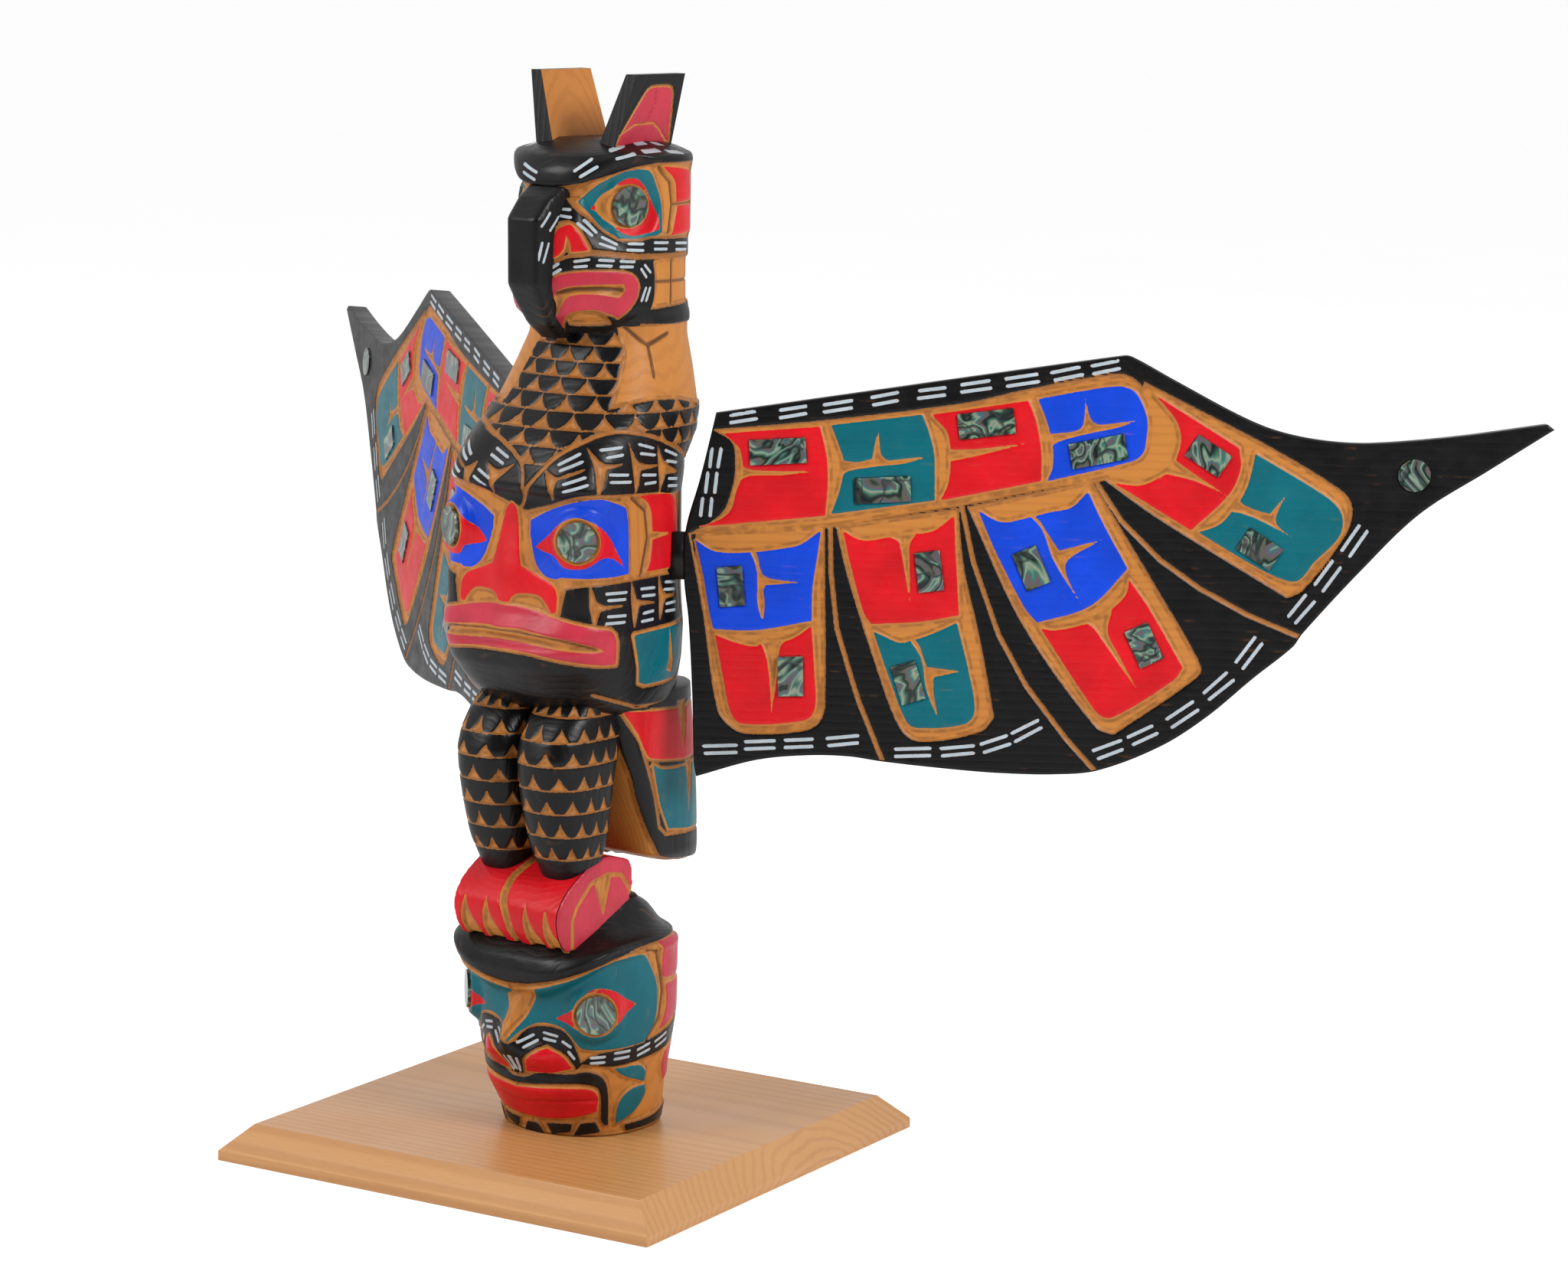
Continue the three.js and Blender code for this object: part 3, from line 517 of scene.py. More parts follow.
def paint_lower(carving, side):
    """The lower face and its hat; side holds unmirrored places"""
    brim = [(0, 110), (12, 111.5), (26, 116), (38, 121.5), (51, 127), (68, 130), (95, 131.5), (160, 133)]
    carving.area("wood", brim + [(160, 20), (0, 20)])
    carving.area("black", brim + [(160, 170), (0, 170)])
    carving.stroke("wood", brim, 1.6)
    # Eye field, lids and ring
    carving.area("teal", [(0, 106), (8, 107.5), (20, 111.5), (33, 117.5), (46, 124), (62, 127), (71, 126),
                          (77, 118), (82, 106), (81, 86), (75, 75), (55, 74), (38, 75), (33, 81), (27, 87.5),
                          (16, 89), (7, 84.5), (0, 76)])
    carving.area("red", [(24, 92), (33, 99), (40, 109), (45, 111), (52, 109), (60, 103), (67, 99), (60, 94),
                         (53, 90), (47, 84), (42, 84), (37, 86), (31, 90)])
    swing = carving.points
    carving.points = side
    carving.area("wood", [(-6, 102), (4, 106.5), (15, 108.5), (9, 94), (3, 84), (-2, 73), (-7, 80), (-3, 92)], 0.3)
    carving.points = swing
    # Temple and cheek panels
    carving.groove([(74, 129), (82, 125), (85, 115), (88, 102), (85, 86), (77, 74)], 2.0)
    carving.area("rose", [(84, 131), (101, 131), (122, 128), (122, 110), (98, 109), (87, 110), (86, 117),
                          (86, 126)])
    carving.area("rose", [(89, 106), (103, 105), (122, 106), (122, 88), (100, 84), (86, 80), (91, 96)])
    carving.groove([(86, 108), (122, 108)], 1.8)
    carving.area("black", [(37, 66), (44, 71), (61, 73.5), (77, 75), (99, 80), (124, 86), (124, 76), (103, 68),
                           (78, 65), (56, 63.5)])
    carving.dashes([
        [(43, 69.5), (50, 69.8)], [(43, 66.3), (50, 66.5)], [(56, 71.3), (65, 71.5)], [(56, 67.8), (65, 68)],
        [(71, 71), (80, 73)], [(72, 67.5), (81, 69.3)], [(85, 73), (95, 76)], [(87, 69.5), (97, 72)],
    ], 1.7)
    carving.area("rose", [(99, 64), (122, 70), (122, 50), (104, 46), (98, 56)])
    # Moustache, nostril and dashes
    carving.area("black", [(-3, 74), (3, 77), (8, 84), (16, 87), (27, 86), (33, 79), (38, 65), (34, 62),
                           (10, 58), (-3, 57)])
    carving.area("red", [(6, 59), (9, 67), (15, 73), (20, 75), (28, 70), (33, 63), (22, 60)], 1.8)
    carving.dashes([
        [(5, 77), (12, 81.5)], [(8, 74.5), (14.5, 78.8)], [(18, 83.5), (25, 82)], [(18, 80), (24, 79)],
        [(28, 79), (32, 76)], [(31, 73), (34, 69)], [(4, 67.5), (2.5, 59)], [(0.5, 68), (0.3, 60)],
    ], 1.6)
    # Lips and chin
    carving.area("black", [(-3, 55.5), (5, 55.5), (14, 59), (33, 59.5), (40, 61), (48, 58.5), (53, 52),
                           (58, 27), (53, 27), (49, 49), (45, 52.5), (33, 54), (5, 52), (-3, 52)])
    carving.area("red", [(-3, 49), (9, 50), (33, 51), (44, 50), (48, 46), (49, 36), (33, 32), (11, 30),
                         (-3, 30)], 1.4)
    carving.groove([(-3, 39), (15, 42), (33, 43), (48, 43)], 2.0)
    carving.area("wood", [(-3, 28.5), (11, 29), (33, 31), (49, 34.5), (56, 26), (33, 27), (11, 26.5), (-3, 26.5)])
    carving.area("black", [(-3, 25.5), (5, 25.5), (10, 20), (-3, 20)])
    carving.area("black", [(13, 27), (33, 28), (32, 23), (17, 20.5)])
    carving.area("black", [(36, 24), (39, 28.5), (49, 29), (53, 23), (34, 20.5)])
    carving.area("teal", [(56, 62), (75, 61), (82, 56), (82, 50), (73, 53), (63, 57)], 0.8)
    carving.area("teal", [(83, 48), (84, 42), (76, 33), (63, 27), (63, 40), (70, 47)], 0.8)
    carving.area("black", [(70, 26), (94, 27), (118, 31), (118, 22), (72, 22)])
    carving.area("wood", [(134, 133), (160, 134), (160, 20), (134, 20)])


def paint_tail(carving):
    """The tail behind the legs"""
    carving.area("wood", [(0, 300), (160, 300), (160, 160), (0, 160)])
    carving.area("black", [(34, 262), (38, 243), (44, 226), (48, 212), (54, 197), (60, 186), (67, 177),
                           (98, 171), (160, 170), (160, 276), (30, 276)])
    carving.stroke("wood", [(30, 274), (39, 261), (48, 245), (55, 225), (59, 213), (64, 194), (70, 189),
                            (124, 186)], 2.2)
    carving.area("red", [(36, 268), (39, 264), (78, 260), (118, 262), (118, 233), (93, 231), (81, 231),
                         (55, 235), (51, 240), (46, 251)], 1.8)
    carving.area("teal", [(57, 231), (65, 227), (88, 226), (118, 228), (118, 192), (100, 189), (72, 192),
                          (64, 207), (60, 220)], 1.8)
    carving.area("wood", [(86, 229), (95, 229), (93, 210), (92, 198), (90, 214)], 0.3)
    carving.area("wood", [(76, 264), (86, 264), (85, 246), (83, 237), (80, 252)], 0.3)
    carving.area("wood", [(122, 300), (160, 300), (160, 160), (122, 160)])


WING_AREAS = [
    ("wood", [(110, 420), (170, 426.5), (248, 438), (283, 446.5), (332, 456), (341, 453), (349, 444), (353, 432),
                 (353, 418), (346, 408), (334, 402), (325, 397), (291, 391), (251, 382), (224, 377), (171, 367),
                 (98, 362), (116, 374), (122, 390), (123, 402), (121, 413)]),
    ("wood", [(98, 363), (107, 319), (116, 266), (123, 256.5), (132, 252.5), (165, 255), (174, 262), (175.5, 278),
                 (174, 335), (173, 369)]),
    ("wood", [(179, 369), (185.5, 343), (203, 292), (217, 258), (228, 250.5), (262, 257), (269, 265), (260, 308),
                 (250, 348), (246, 380)]),
    ("wood", [(251, 381), (283, 317), (325, 261), (335, 257), (380, 290), (382, 296), (358, 336), (319, 397)]),
    ("wood", [(325, 398), (356, 377), (428, 335), (436, 339), (459, 371), (462, 385), (457, 394), (414, 419),
                 (375, 438), (346, 452)]),
    ("red", [(116, 418), (169, 423), (173, 407), (174, 391), (173, 374), (101, 366), (114, 370), (121, 376),
                (124, 387), (126, 392), (127, 401), (125, 410), (121, 414)]),
    ("wood", [(126, 400.5), (131, 398.5), (150, 398), (171, 399), (150, 396), (131, 395), (126, 392.5)]),
    ("teal", [(175, 424), (225, 431), (229, 421), (232, 409), (233, 384), (176, 375), (180, 386), (182, 395),
                 (183, 402), (180, 412)]),
    ("wood", [(180, 405), (190, 404), (198, 406), (201, 423), (203, 408), (206, 405.5), (216, 406.5), (230, 408.5),
                 (216, 404), (201, 402), (185, 399), (181, 396)]),
    ("red", [(230, 431), (283, 440), (287, 430), (290, 417), (291, 407), (291, 396), (236, 384), (240, 393),
                (241, 406), (239, 421)]),
    ("wood", [(239, 412), (257, 413), (284, 417), (257, 409.5), (240, 405.5)]),
    ("blue", [(288, 441), (312, 446), (330, 449), (338, 448), (343, 444), (348, 432), (348, 420), (346, 412),
                 (340, 408), (294, 396), (297, 403), (297, 414), (295, 423), (292, 432)]),
    ("wood", [(295, 422), (309, 424), (313, 427), (314, 443), (317, 431), (321, 428), (332, 429), (344, 431),
                 (332, 426.5), (317, 423), (300, 418), (296, 415)]),
    ("blue", [(102, 359), (113, 353), (133, 353), (153, 356), (160, 358), (171, 366), (169, 350), (167, 334),
                 (167, 316), (136, 310), (113, 310), (111, 317), (107, 338)]),
    ("wood", [(131, 356), (136, 352), (138, 344), (141, 339.5), (160, 337), (141, 335), (140, 332), (141, 325),
                 (140, 314), (137, 325), (136, 344)]),
    ("red", [(114, 307), (125, 303), (137, 301), (141, 304), (146, 303), (157, 306), (167, 313), (169, 289),
                (170, 268), (165, 261), (130, 258), (124, 263), (119, 283)]),
    ("wood", [(135, 303), (140, 302), (143, 293), (145, 278), (146, 264), (149, 288), (150, 301), (154, 306)]),
    ("red", [(183, 366), (194, 361), (208, 363), (218, 365), (232, 367), (244, 376), (245, 359), (248, 321),
                (227, 317), (200, 315), (196, 320), (188, 346)]),
    ("wood", [(207, 364), (214, 361), (216, 352), (221, 326), (220, 350), (220, 360), (224, 366)]),
    ("teal", [(201, 311), (216, 305), (221, 306), (230, 309), (237, 312), (247, 317), (250, 306), (254, 291),
                 (258, 268), (253, 261), (227, 258), (221, 261), (211, 284)]),
    ("wood", [(220, 309), (226, 305), (228, 300), (231, 292), (250, 290), (235, 286.5), (235, 279), (238, 263),
                 (231, 280), (228, 296)]),
    ("blue", [(257, 379), (270, 373), (285, 376), (296, 379), (308, 382), (317, 391), (325, 375), (340, 349),
                 (320, 328), (291, 318), (284, 326), (267, 357)]),
    ("wood", [(284, 378), (290, 375), (295, 368), (302, 358), (326, 365), (307, 353), (306, 346), (316, 327),
                 (299, 353), (292, 370)]),
    ("red", [(293, 315), (301, 314), (318, 318), (325, 321), (339, 334), (341, 343), (352, 328), (372, 295),
                (367, 288), (335, 267), (328, 267), (320, 276)]),
    ("wood", [(314, 319), (321, 317), (326, 311), (348, 281), (336, 302), (330, 314), (332, 326)]),
    ("red", [(331, 396), (345, 395), (355, 399), (362, 404), (365, 411), (367, 421), (364, 431), (352, 445),
                (399, 417), (400, 405), (394, 391), (374, 371)]),
    ("wood", [(360, 412), (375, 402), (394, 390), (376, 398), (358, 402)]),
    ("teal", [(378, 370), (390, 375), (398, 385), (402, 391), (405, 399), (408, 414), (440, 396), (453, 387),
                 (457, 379), (455, 369), (442, 355), (434, 345), (426, 345), (410, 352)]),
    ("wood", [(398, 390), (402, 386), (411, 382.5), (417, 381), (427, 394), (420, 379), (422, 374), (434, 366),
                 (415, 376), (402, 381), (395, 382)]),
]
WING_LINES = [
    [(176, 370), (177, 343), (181, 312), (188, 290), (194, 272), (209, 237)],
    [(248, 381), (255, 351), (270, 311), (286, 283), (309, 254), (327, 235)],
    [(322, 395), (336, 375), (358, 354), (380, 339), (407, 325), (440, 312)],
]
WING_DASHES = [
    [(110, 409.5), (109, 399.5)], [(115, 409.5), (113.5, 399.5)], [(108, 396), (107, 385.5)],
    [(113, 396), (112, 385.5)], [(105.5, 382), (104.5, 372.5)], [(110.5, 382), (109.8, 372.5)],
    [(120, 428), (133, 430.5)], [(120, 424), (134, 426.5)], [(147, 431.5), (161, 434)],
    [(147, 427.3), (161, 430)], [(171, 435), (186, 437.7)], [(171, 431), (186, 433.7)],
    [(197, 439.7), (211, 442.7)], [(198, 435.6), (211, 438.3)], [(223, 444), (237, 446)],
    [(222.5, 439.8), (237, 442)], [(246, 447.8), (261, 450.4)], [(246, 443.8), (262, 446.4)],
    [(270, 451.6), (287, 454.6)], [(271, 447.6), (288, 450.6)], [(295, 455.6), (310, 459)],
    [(297, 451.6), (312, 455)], [(317, 459.8), (331, 463)], [(318, 455.6), (332, 458.8)],
    [(109, 245), (127, 246)], [(110, 241), (127, 242)], [(132, 248), (148, 249)], [(132, 244), (148, 245)],
    [(154, 249.4), (169, 250.4)], [(154, 245.4), (169, 246.4)], [(177, 251), (194, 253)],
    [(178, 247), (194, 249)], [(215, 246), (234, 247)], [(215, 242), (234, 243)], [(240, 247), (258, 249)],
    [(241, 243), (258, 245)], [(262, 250), (276, 255)], [(264, 245.5), (278, 250.5)],
    [(279, 256.5), (293, 264)], [(281, 252), (295, 260)], [(324, 248), (339, 254)], [(327, 243.6), (340, 249)],
    [(343, 256), (356, 262.5)], [(346, 252), (359, 258.5)], [(364, 266.5), (378, 276.5)],
    [(367, 262), (381, 272)], [(384, 281.5), (396, 293)], [(387, 278), (400, 289)], [(401, 299), (411, 313)],
    [(405, 295.6), (415, 309.6)], [(429, 325), (438, 337)], [(433, 321.5), (443, 333.5)],
    [(443, 343), (452, 356)], [(447.5, 339.5), (456.5, 352.5)], [(457, 362), (466, 376)],
    [(461.5, 359), (470.5, 373)],
]
WING_EDGE = [
    (0.025, 0.168), (0.499, 0.246), (0.510, 0.244), (0.558, 0.219), (0.635, 0.180), (0.679, 0.163),
    (0.732, 0.153), (0.788, 0.151), (0.885, 0.161), (0.992, 0.178), (1.000, 0.172), (0.926, 0.123),
    (0.847, 0.070), (0.781, 0.002), (0.715, -0.074), (0.705, -0.089), (0.660, -0.127), (0.607, -0.174),
    (0.554, -0.210), (0.482, -0.240), (0.431, -0.246), (0.363, -0.246), (0.297, -0.242), (0.229, -0.236),
    (0.189, -0.231), (0.140, -0.231), (0.081, -0.238), (0.011, -0.259), (0.008, -0.242), (0.004, -0.157),
    (-0.002, -0.074), (-0.008, -0.028), (-0.008, 0.028), (0.008, 0.091), (0.021, 0.149),
]
# Inlays in the wing: place and turn of each tile, as shares of the wing's length
TILES = [
    (0.098, 0.125, 4, 31), (0.221, 0.083, 4, 31), (0.340, 0.163, 8, 31), (0.471, 0.134, 12, 31),
    (0.599, 0.132, -32, 22), (0.662, 0.025, -32, 22), (0.047, -0.034, 96, 22), (0.119, -0.138, 92, 22),
    (0.278, -0.011, 98, 22), (0.257, -0.142, 108, 22), (0.397, -0.004, 114, 22), (0.531, -0.091, 116, 22),
]
WING_DISC = (0.839, 0.115)
TILE_HALF_WIDTH = 6.4
DISC_POCKET_RADIUS = 8.4
POCKET_DEPTH = 1.2


def paint_wing(carving):
    for colour, outline in WING_AREAS:
        carving.area(colour, outline)
    for line in WING_LINES:
        carving.stroke("wood", line, 2.7)
    carving.dashes(WING_DASHES, 1.9)


# ---------------------------------------------------------------- building meshes
def in_figure(points):
    turn = math.radians(FIGURE_TURN)
    c, s = math.cos(turn), math.sin(turn)
    x, y, z = points[:, 0], points[:, 1], points[:, 2]
    return np.stack([FIGURE_X + c * x - s * y, FIGURE_Y + s * x + c * y, z], 1) * MM


def make_piece(name, points, faces, carving, run, replaced, smooth=True):
    """A mesh piece in metres, with its paint distances kept as named point values"""
    mesh = bpy.data.meshes.new(name)
    mesh.from_pydata(in_figure(points).tolist(), [], faces)
    mesh.validate()
    mesh.update()
    # The bare and cut distances also place the painted groove shade in the material
    for field, values in dict(carving.paint, bare=carving.bare(), cut=carving.cut).items():
        layer = mesh.attributes.new("paint_" + field, "FLOAT", "POINT")
        layer.data.foreach_set("value", values.astype(np.float32))
    layer = mesh.attributes.new("grain_run", "FLOAT_VECTOR", "POINT")
    layer.data.foreach_set("vector", (run * MM).astype(np.float32).ravel())
    mesh.polygons.foreach_set("use_smooth", [smooth] * len(mesh.polygons))
    piece = bpy.data.objects.new(name, mesh)
    bpy.context.scene.collection.objects.link(piece)
    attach(piece, "root")
    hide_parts(*replaced)
    return piece


def softened(values, width=2):
    kernel = np.exp(-(np.arange(-2 * width, 2 * width + 1) / width) ** 2)
    kernel /= kernel.sum()
    padded = np.pad(values, 2 * width, mode="edge")
    return np.convolve(padded, kernel, mode="valid")


def ring_angles(fine, front, coarse):
    middle = np.arange(-front, front + 1e-6, fine)
    back = np.arange(front + coarse, 360 - front - coarse / 2, coarse)
    return np.radians(np.concatenate([middle, back]))


def carved_surface(rows, swells, spacing, angles, form_x=0.0):
    """Points of a form: one ring for each level, in the figure's millimetres"""
    table = np.array(rows, float)
    count = int((table[-1, 0] - table[0, 0]) * POLE_HEIGHT / spacing) + 1
    levels = np.linspace(table[0, 0], table[-1, 0], count)
    centre, front, half, back, square_front, square_back = (
        softened(np.interp(levels, table[:, 0], table[:, k]))[:, None] for k in range(1, 7))
    across, forward = np.sin(angles)[None, :], np.cos(angles)[None, :]
    power = np.where(forward > 0, square_front, square_back)
    reach = np.where(forward > 0, front, back)
    distance = (np.abs(across / half) ** power + np.abs(forward / reach) ** power) ** (-1 / power)
    side = np.degrees(np.abs(np.arctan2(across, forward)))
    for angle, level, rise, spread, up in swells:
        distance = distance + rise * np.exp(-((side - angle) / spread) ** 2 - ((levels[:, None] - level) / up) ** 2)
    z = np.broadcast_to((FOOT + POLE_HEIGHT * levels)[:, None], distance.shape)
    return np.stack([LOG_RADIUS * (form_x + distance * across), LOG_RADIUS * (centre - distance * forward), z], 2)


def surface_normals(grid):
    along = np.roll(grid, -1, 1) - np.roll(grid, 1, 1)
    up = np.gradient(grid, axis=0)
    normal = np.cross(along, up)
    return normal / np.maximum(np.linalg.norm(normal, axis=2, keepdims=True), 1e-9)


def zone_place(points, zone):
    """Side distance from the front and height, in millimetres"""
    side = zone[1] * np.arctan2(points[:, 0], -(points[:, 1] - zone[0]))
    return np.stack([side, points[:, 2]], 1)


def mirrored_place(places):
    return np.stack([np.abs(places[:, 0]), places[:, 1]], 1)


def ring_faces(rows, columns):
    index = np.arange(rows * columns).reshape(rows, columns)
    after = np.roll(index, -1, 1)
    quads = np.stack([index[:-1], after[:-1], after[1:], index[1:]], 2).reshape(-1, 4)
    return [tuple(q) for q in quads.tolist()] + [tuple(index[0][::-1].tolist()), tuple(index[-1].tolist())]


def carved_piece(name, rows, swells, painter, spacing, angles, shape=None, form_x=0.0):
    """A form of the pole, carved as deep as its painter says"""
    grid = carved_surface(rows, swells, spacing, angles, form_x)
    if shape is not None:
        grid = shape(grid)
    normals = surface_normals(grid)
    flat = grid.reshape(-1, 3)
    carving = painter(flat)
    moved = flat - normals.reshape(-1, 3) * carving.depth()[:, None]
    return make_piece(name, moved, ring_faces(*grid.shape[:2]), carving, flat, ("pole",))


def body_and_head(points):
    body = zone_place(points, BODY_ZONE)
    carving = Carving(body)
    paint_body(carving, body, mirrored_place(body), zone_place(points, NECK_ZONE))
    head = Carving(mirrored_place(zone_place(points, HEAD_ZONE)))
    paint_head(head, zone_place(points, HEAD_ZONE))
    above = points[:, 2] > HEAD_FROM
    for name in PAINTS:
        carving.paint[name] = np.where(above, head.paint[name], carving.paint[name])
    carving.cut = np.where(above, head.cut, carving.cut)
    return eye_rims(carving, points)


def head_only(points):
    side = zone_place(points, HEAD_ZONE)
    carving = Carving(mirrored_place(side))
    paint_head(carving, side)
    return carving


def lower_only(points):
    side = zone_place(points, LOW_ZONE)
    carving = Carving(mirrored_place(side))
    paint_lower(carving, side)
    return eye_rims(carving, points)


def tail_only(points):
    carving = Carving(mirrored_place(zone_place(points, TAIL_ZONE)))
    paint_tail(carving)
    return carving


def leg_painter(leg_x):
    def paint(points):
        angle = np.degrees(np.arctan2(points[:, 0] - leg_x, LEG_CENTRE_Y - points[:, 1]))
        side = angle * LEG_MM_PER_DEGREE
        carving = Carving(np.stack([side, points[:, 2]], 1))
        scales(carving, LEG_ROWS, 8.8, -90, 90)
        return carving
    return paint


def painted_beak(points):
    """A black beak with dashes on its side faces only"""
    carving = Carving(points[:, 1:].copy())
    carving.dashes([
        [(-57, 537), (-63, 530)], [(-50.5, 534.5), (-57, 527.5)], [(-62.5, 521), (-64.5, 512)],
        [(-58, 520.5), (-61.5, 510.5)],
    ], 1.5)
    front = np.abs(points[:, 0]) < 10.5
    for name in ("black", "dash"):
        carving.paint[name] = np.where(front, REACH if name == "black" else -REACH, carving.paint[name])
    return carving


def ease(values, low, high):
    share = np.clip((values - low) / (high - low), 0, 1)
    return share * share * (3 - 2 * share)


def side_angle(grid, centre_y=0.0):
    return np.degrees(np.abs(np.arctan2(grid[:, :, 0], -(grid[:, :, 1] - centre_y))))


def eye_places():
    """Centre and facing direction of each eye disc on the right side"""
    places = []
    for rows, swells, angle, level, faces in (
        (UPPER_FIGURE, UPPER_SWELLS, 58, 0.937, 70),
        (UPPER_FIGURE, UPPER_SWELLS, 38, 0.616, 28),
        (LOWER_FACE, LOWER_SWELLS, 50, 0.136, 44),
    ):
        table = np.array(rows, float)
        centre, front, half, _, power, _ = (float(np.interp(level, table[:, 0], table[:, k])) for k in range(1, 7))
        across, forward = math.sin(math.radians(angle)), math.cos(math.radians(angle))
        reach = (abs(across / half) ** power + abs(forward / front) ** power) ** (-1 / power)
        for swell_angle, swell_level, rise, spread, up in swells:
            reach += rise * math.exp(-((angle - swell_angle) / spread) ** 2 - ((level - swell_level) / up) ** 2)
        point = np.array([LOG_RADIUS * reach * across, LOG_RADIUS * (centre - reach * forward),
                          FOOT + POLE_HEIGHT * level])
        facing = np.array([math.sin(math.radians(faces)), -math.cos(math.radians(faces)), 0.0])
        places.append((point, facing))
    return places


def seat_eyes(grid):
    """Flat seats for the eye discs, eased into the carving round them"""
    for point, facing in eye_places():
        for side in (1, -1):
            mirror = np.array([side, 1, 1])
            offset = grid - point * mirror
            height = offset @ (facing * mirror)
            away = np.linalg.norm(offset - height[:, :, None] * (facing * mirror), axis=2)
            hold = (1 - ease(away, 12.0, 19.0)) * (np.abs(height) < 18)
            grid = grid - (height + 0.2)[:, :, None] * hold[:, :, None] * (facing * mirror)
    return grid


def eye_rims(carving, points):
    """Bare rims round the eye discs; the head's rim is wider in front of its disc"""
    for (point, facing), stretch, width in zip(eye_places(), (0.66, 0.95, 0.95), (1.2, 1.9, 1.7)):
        forward = np.array([facing[1], -facing[0], 0.0])
        for side in (1, -1):
            mirror = np.array([side, 1, 1])
            offset = points - point * mirror
            height = offset @ (facing * mirror)
            ahead = offset @ (forward * mirror)
            away = np.hypot(ahead * np.where(ahead > 0, stretch, 1.0), offset[:, 2])
            chosen = np.nonzero((away < 18) & (np.abs(height) < 14))[0]
            if len(chosen):
                carving.lay("wood", chosen, 11.0 + width - away[chosen])
    return carving


def figure_shape(grid):
    """The head's brow rises from its middle to its sides, and its cheeks stand proud"""
    angle = side_angle(grid)
    window = ease(grid[:, :, 2], 522, 546) * (1 - ease(grid[:, :, 2], 551, 574))
    grid = grid.copy()
    proud = 2.2 * ease(angle, 62, 82) * (1 - ease(angle, 120, 150)) * ease(grid[:, :, 2], 521, 526)
    proud = proud * (1 - ease(grid[:, :, 2], 552, 566))
    grid[:, :, 0] += np.sign(grid[:, :, 0]) * proud
    grid[:, :, 2] += 13.0 * ease(angle, 12, 66) * window
    return seat_eyes(grid)


def lower_shape(grid):
    """The hat's brim rises from its middle to its sides"""
    angle = side_angle(grid, -8.0)
    level = grid[:, :, 2].copy()
    window = ease(level, 84, 103) * (1 - ease(level, 104, 142))
    grid = grid.copy()
    ridge = ease(level, 72, 82) * (1 - ease(level, 99, 107))
    middle = -5.0 + 0.32 * (level - 74)
    front = grid[:, :, 1] < 0
    grid[:, :, 1] -= 4.5 * np.exp(-((grid[:, :, 0] - middle) / 5.0) ** 2) * ridge * front
    grid[:, :, 0] *= 1 - 0.06 * ease(angle, 45, 75) * ease(level, 106, 112)
    grid[:, :, 2] += 21.0 * ease(angle, 16, 62) * window
    return seat_eyes(grid)


def snout_shape(grid):
    """The snout's upper edge stays inside the eye hollows"""
    grid = grid.copy()
    shrink = 0.24 * ease(grid[:, :, 2], 512, 538) * ease(side_angle(grid), 22, 42)
    grid[:, :, 0] *= 1 - shrink
    return grid


def leg_shape(leg_x):
    def shape(grid):
        grid = grid.copy()
        narrow = 1 - 0.16 * (1 - ease(grid[:, :, 2], 172, 196))
        grid[:, :, 0] = leg_x + (grid[:, :, 0] - leg_x) * narrow
        return grid
    return shape


def build_pole():
    fine = ring_angles(1.0, 126, 3.0)
    pieces = [
        carved_piece("carved_figure", UPPER_FIGURE, UPPER_SWELLS, body_and_head, 1.0, fine, figure_shape),
        carved_piece("carved_lower_face", LOWER_FACE, LOWER_SWELLS, lower_only, 1.0, fine, lower_shape),
        carved_piece("carved_tail", TAIL, [], tail_only, 1.0, ring_angles(1.2, 144, 4.0)),
        carved_piece("carved_snout", SNOUT, [], head_only, 0.8, ring_angles(1.0, 100, 6.0), snout_shape),
        carved_piece("carved_beak", BEAK, [], painted_beak, 0.6, ring_angles(0.5, 100, 8.0)),
    ]
    for side, name in ((1, "right"), (-1, "left")):
        leg_x = side * LEG_X
        pieces.append(carved_piece(f"carved_leg_{name}", LEG, [], leg_painter(leg_x * LOG_RADIUS), 0.8,
                                   ring_angles(2.0, 150, 6.0), leg_shape(leg_x * LOG_RADIUS), leg_x))
    pieces.append(build_feet())
    return pieces


def closed_curve(points, spacing):
    """A closed outline through rounded corners, with evenly spaced points"""
    outline = rounded(points, 2)
    ends = np.vstack([outline, outline[:1]])
    length = np.concatenate([[0], np.cumsum(np.linalg.norm(np.diff(ends, axis=0), axis=1))])
    count = int(length[-1] / spacing)
    at = np.arange(count) * length[-1] / count
    return np.stack([np.interp(at, length, ends[:, k]) for k in (0, 1)], 1)


def filled(outline, spacing):
    """Places and triangles that fill an outline evenly"""
    low, high = outline.min(0), outline.max(0)
    columns = np.arange(low[0], high[0], spacing)
    rows = np.arange(low[1], high[1], spacing)
    grid = np.stack(np.meshgrid(columns, rows), 2).reshape(-1, 2)
    grid = grid[polygon_distance(grid, outline) > 0.6 * spacing]
    count = len(outline)
    places = [Vector(p) for p in np.vstack([outline, grid]).tolist()]
    edges = [(k, (k + 1) % count) for k in range(count)]
    found = delaunay_2d_cdt(places, edges, [], 1, 1e-5)
    return np.array([tuple(v) for v in found[0]]), [tuple(f) for f in found[2]]


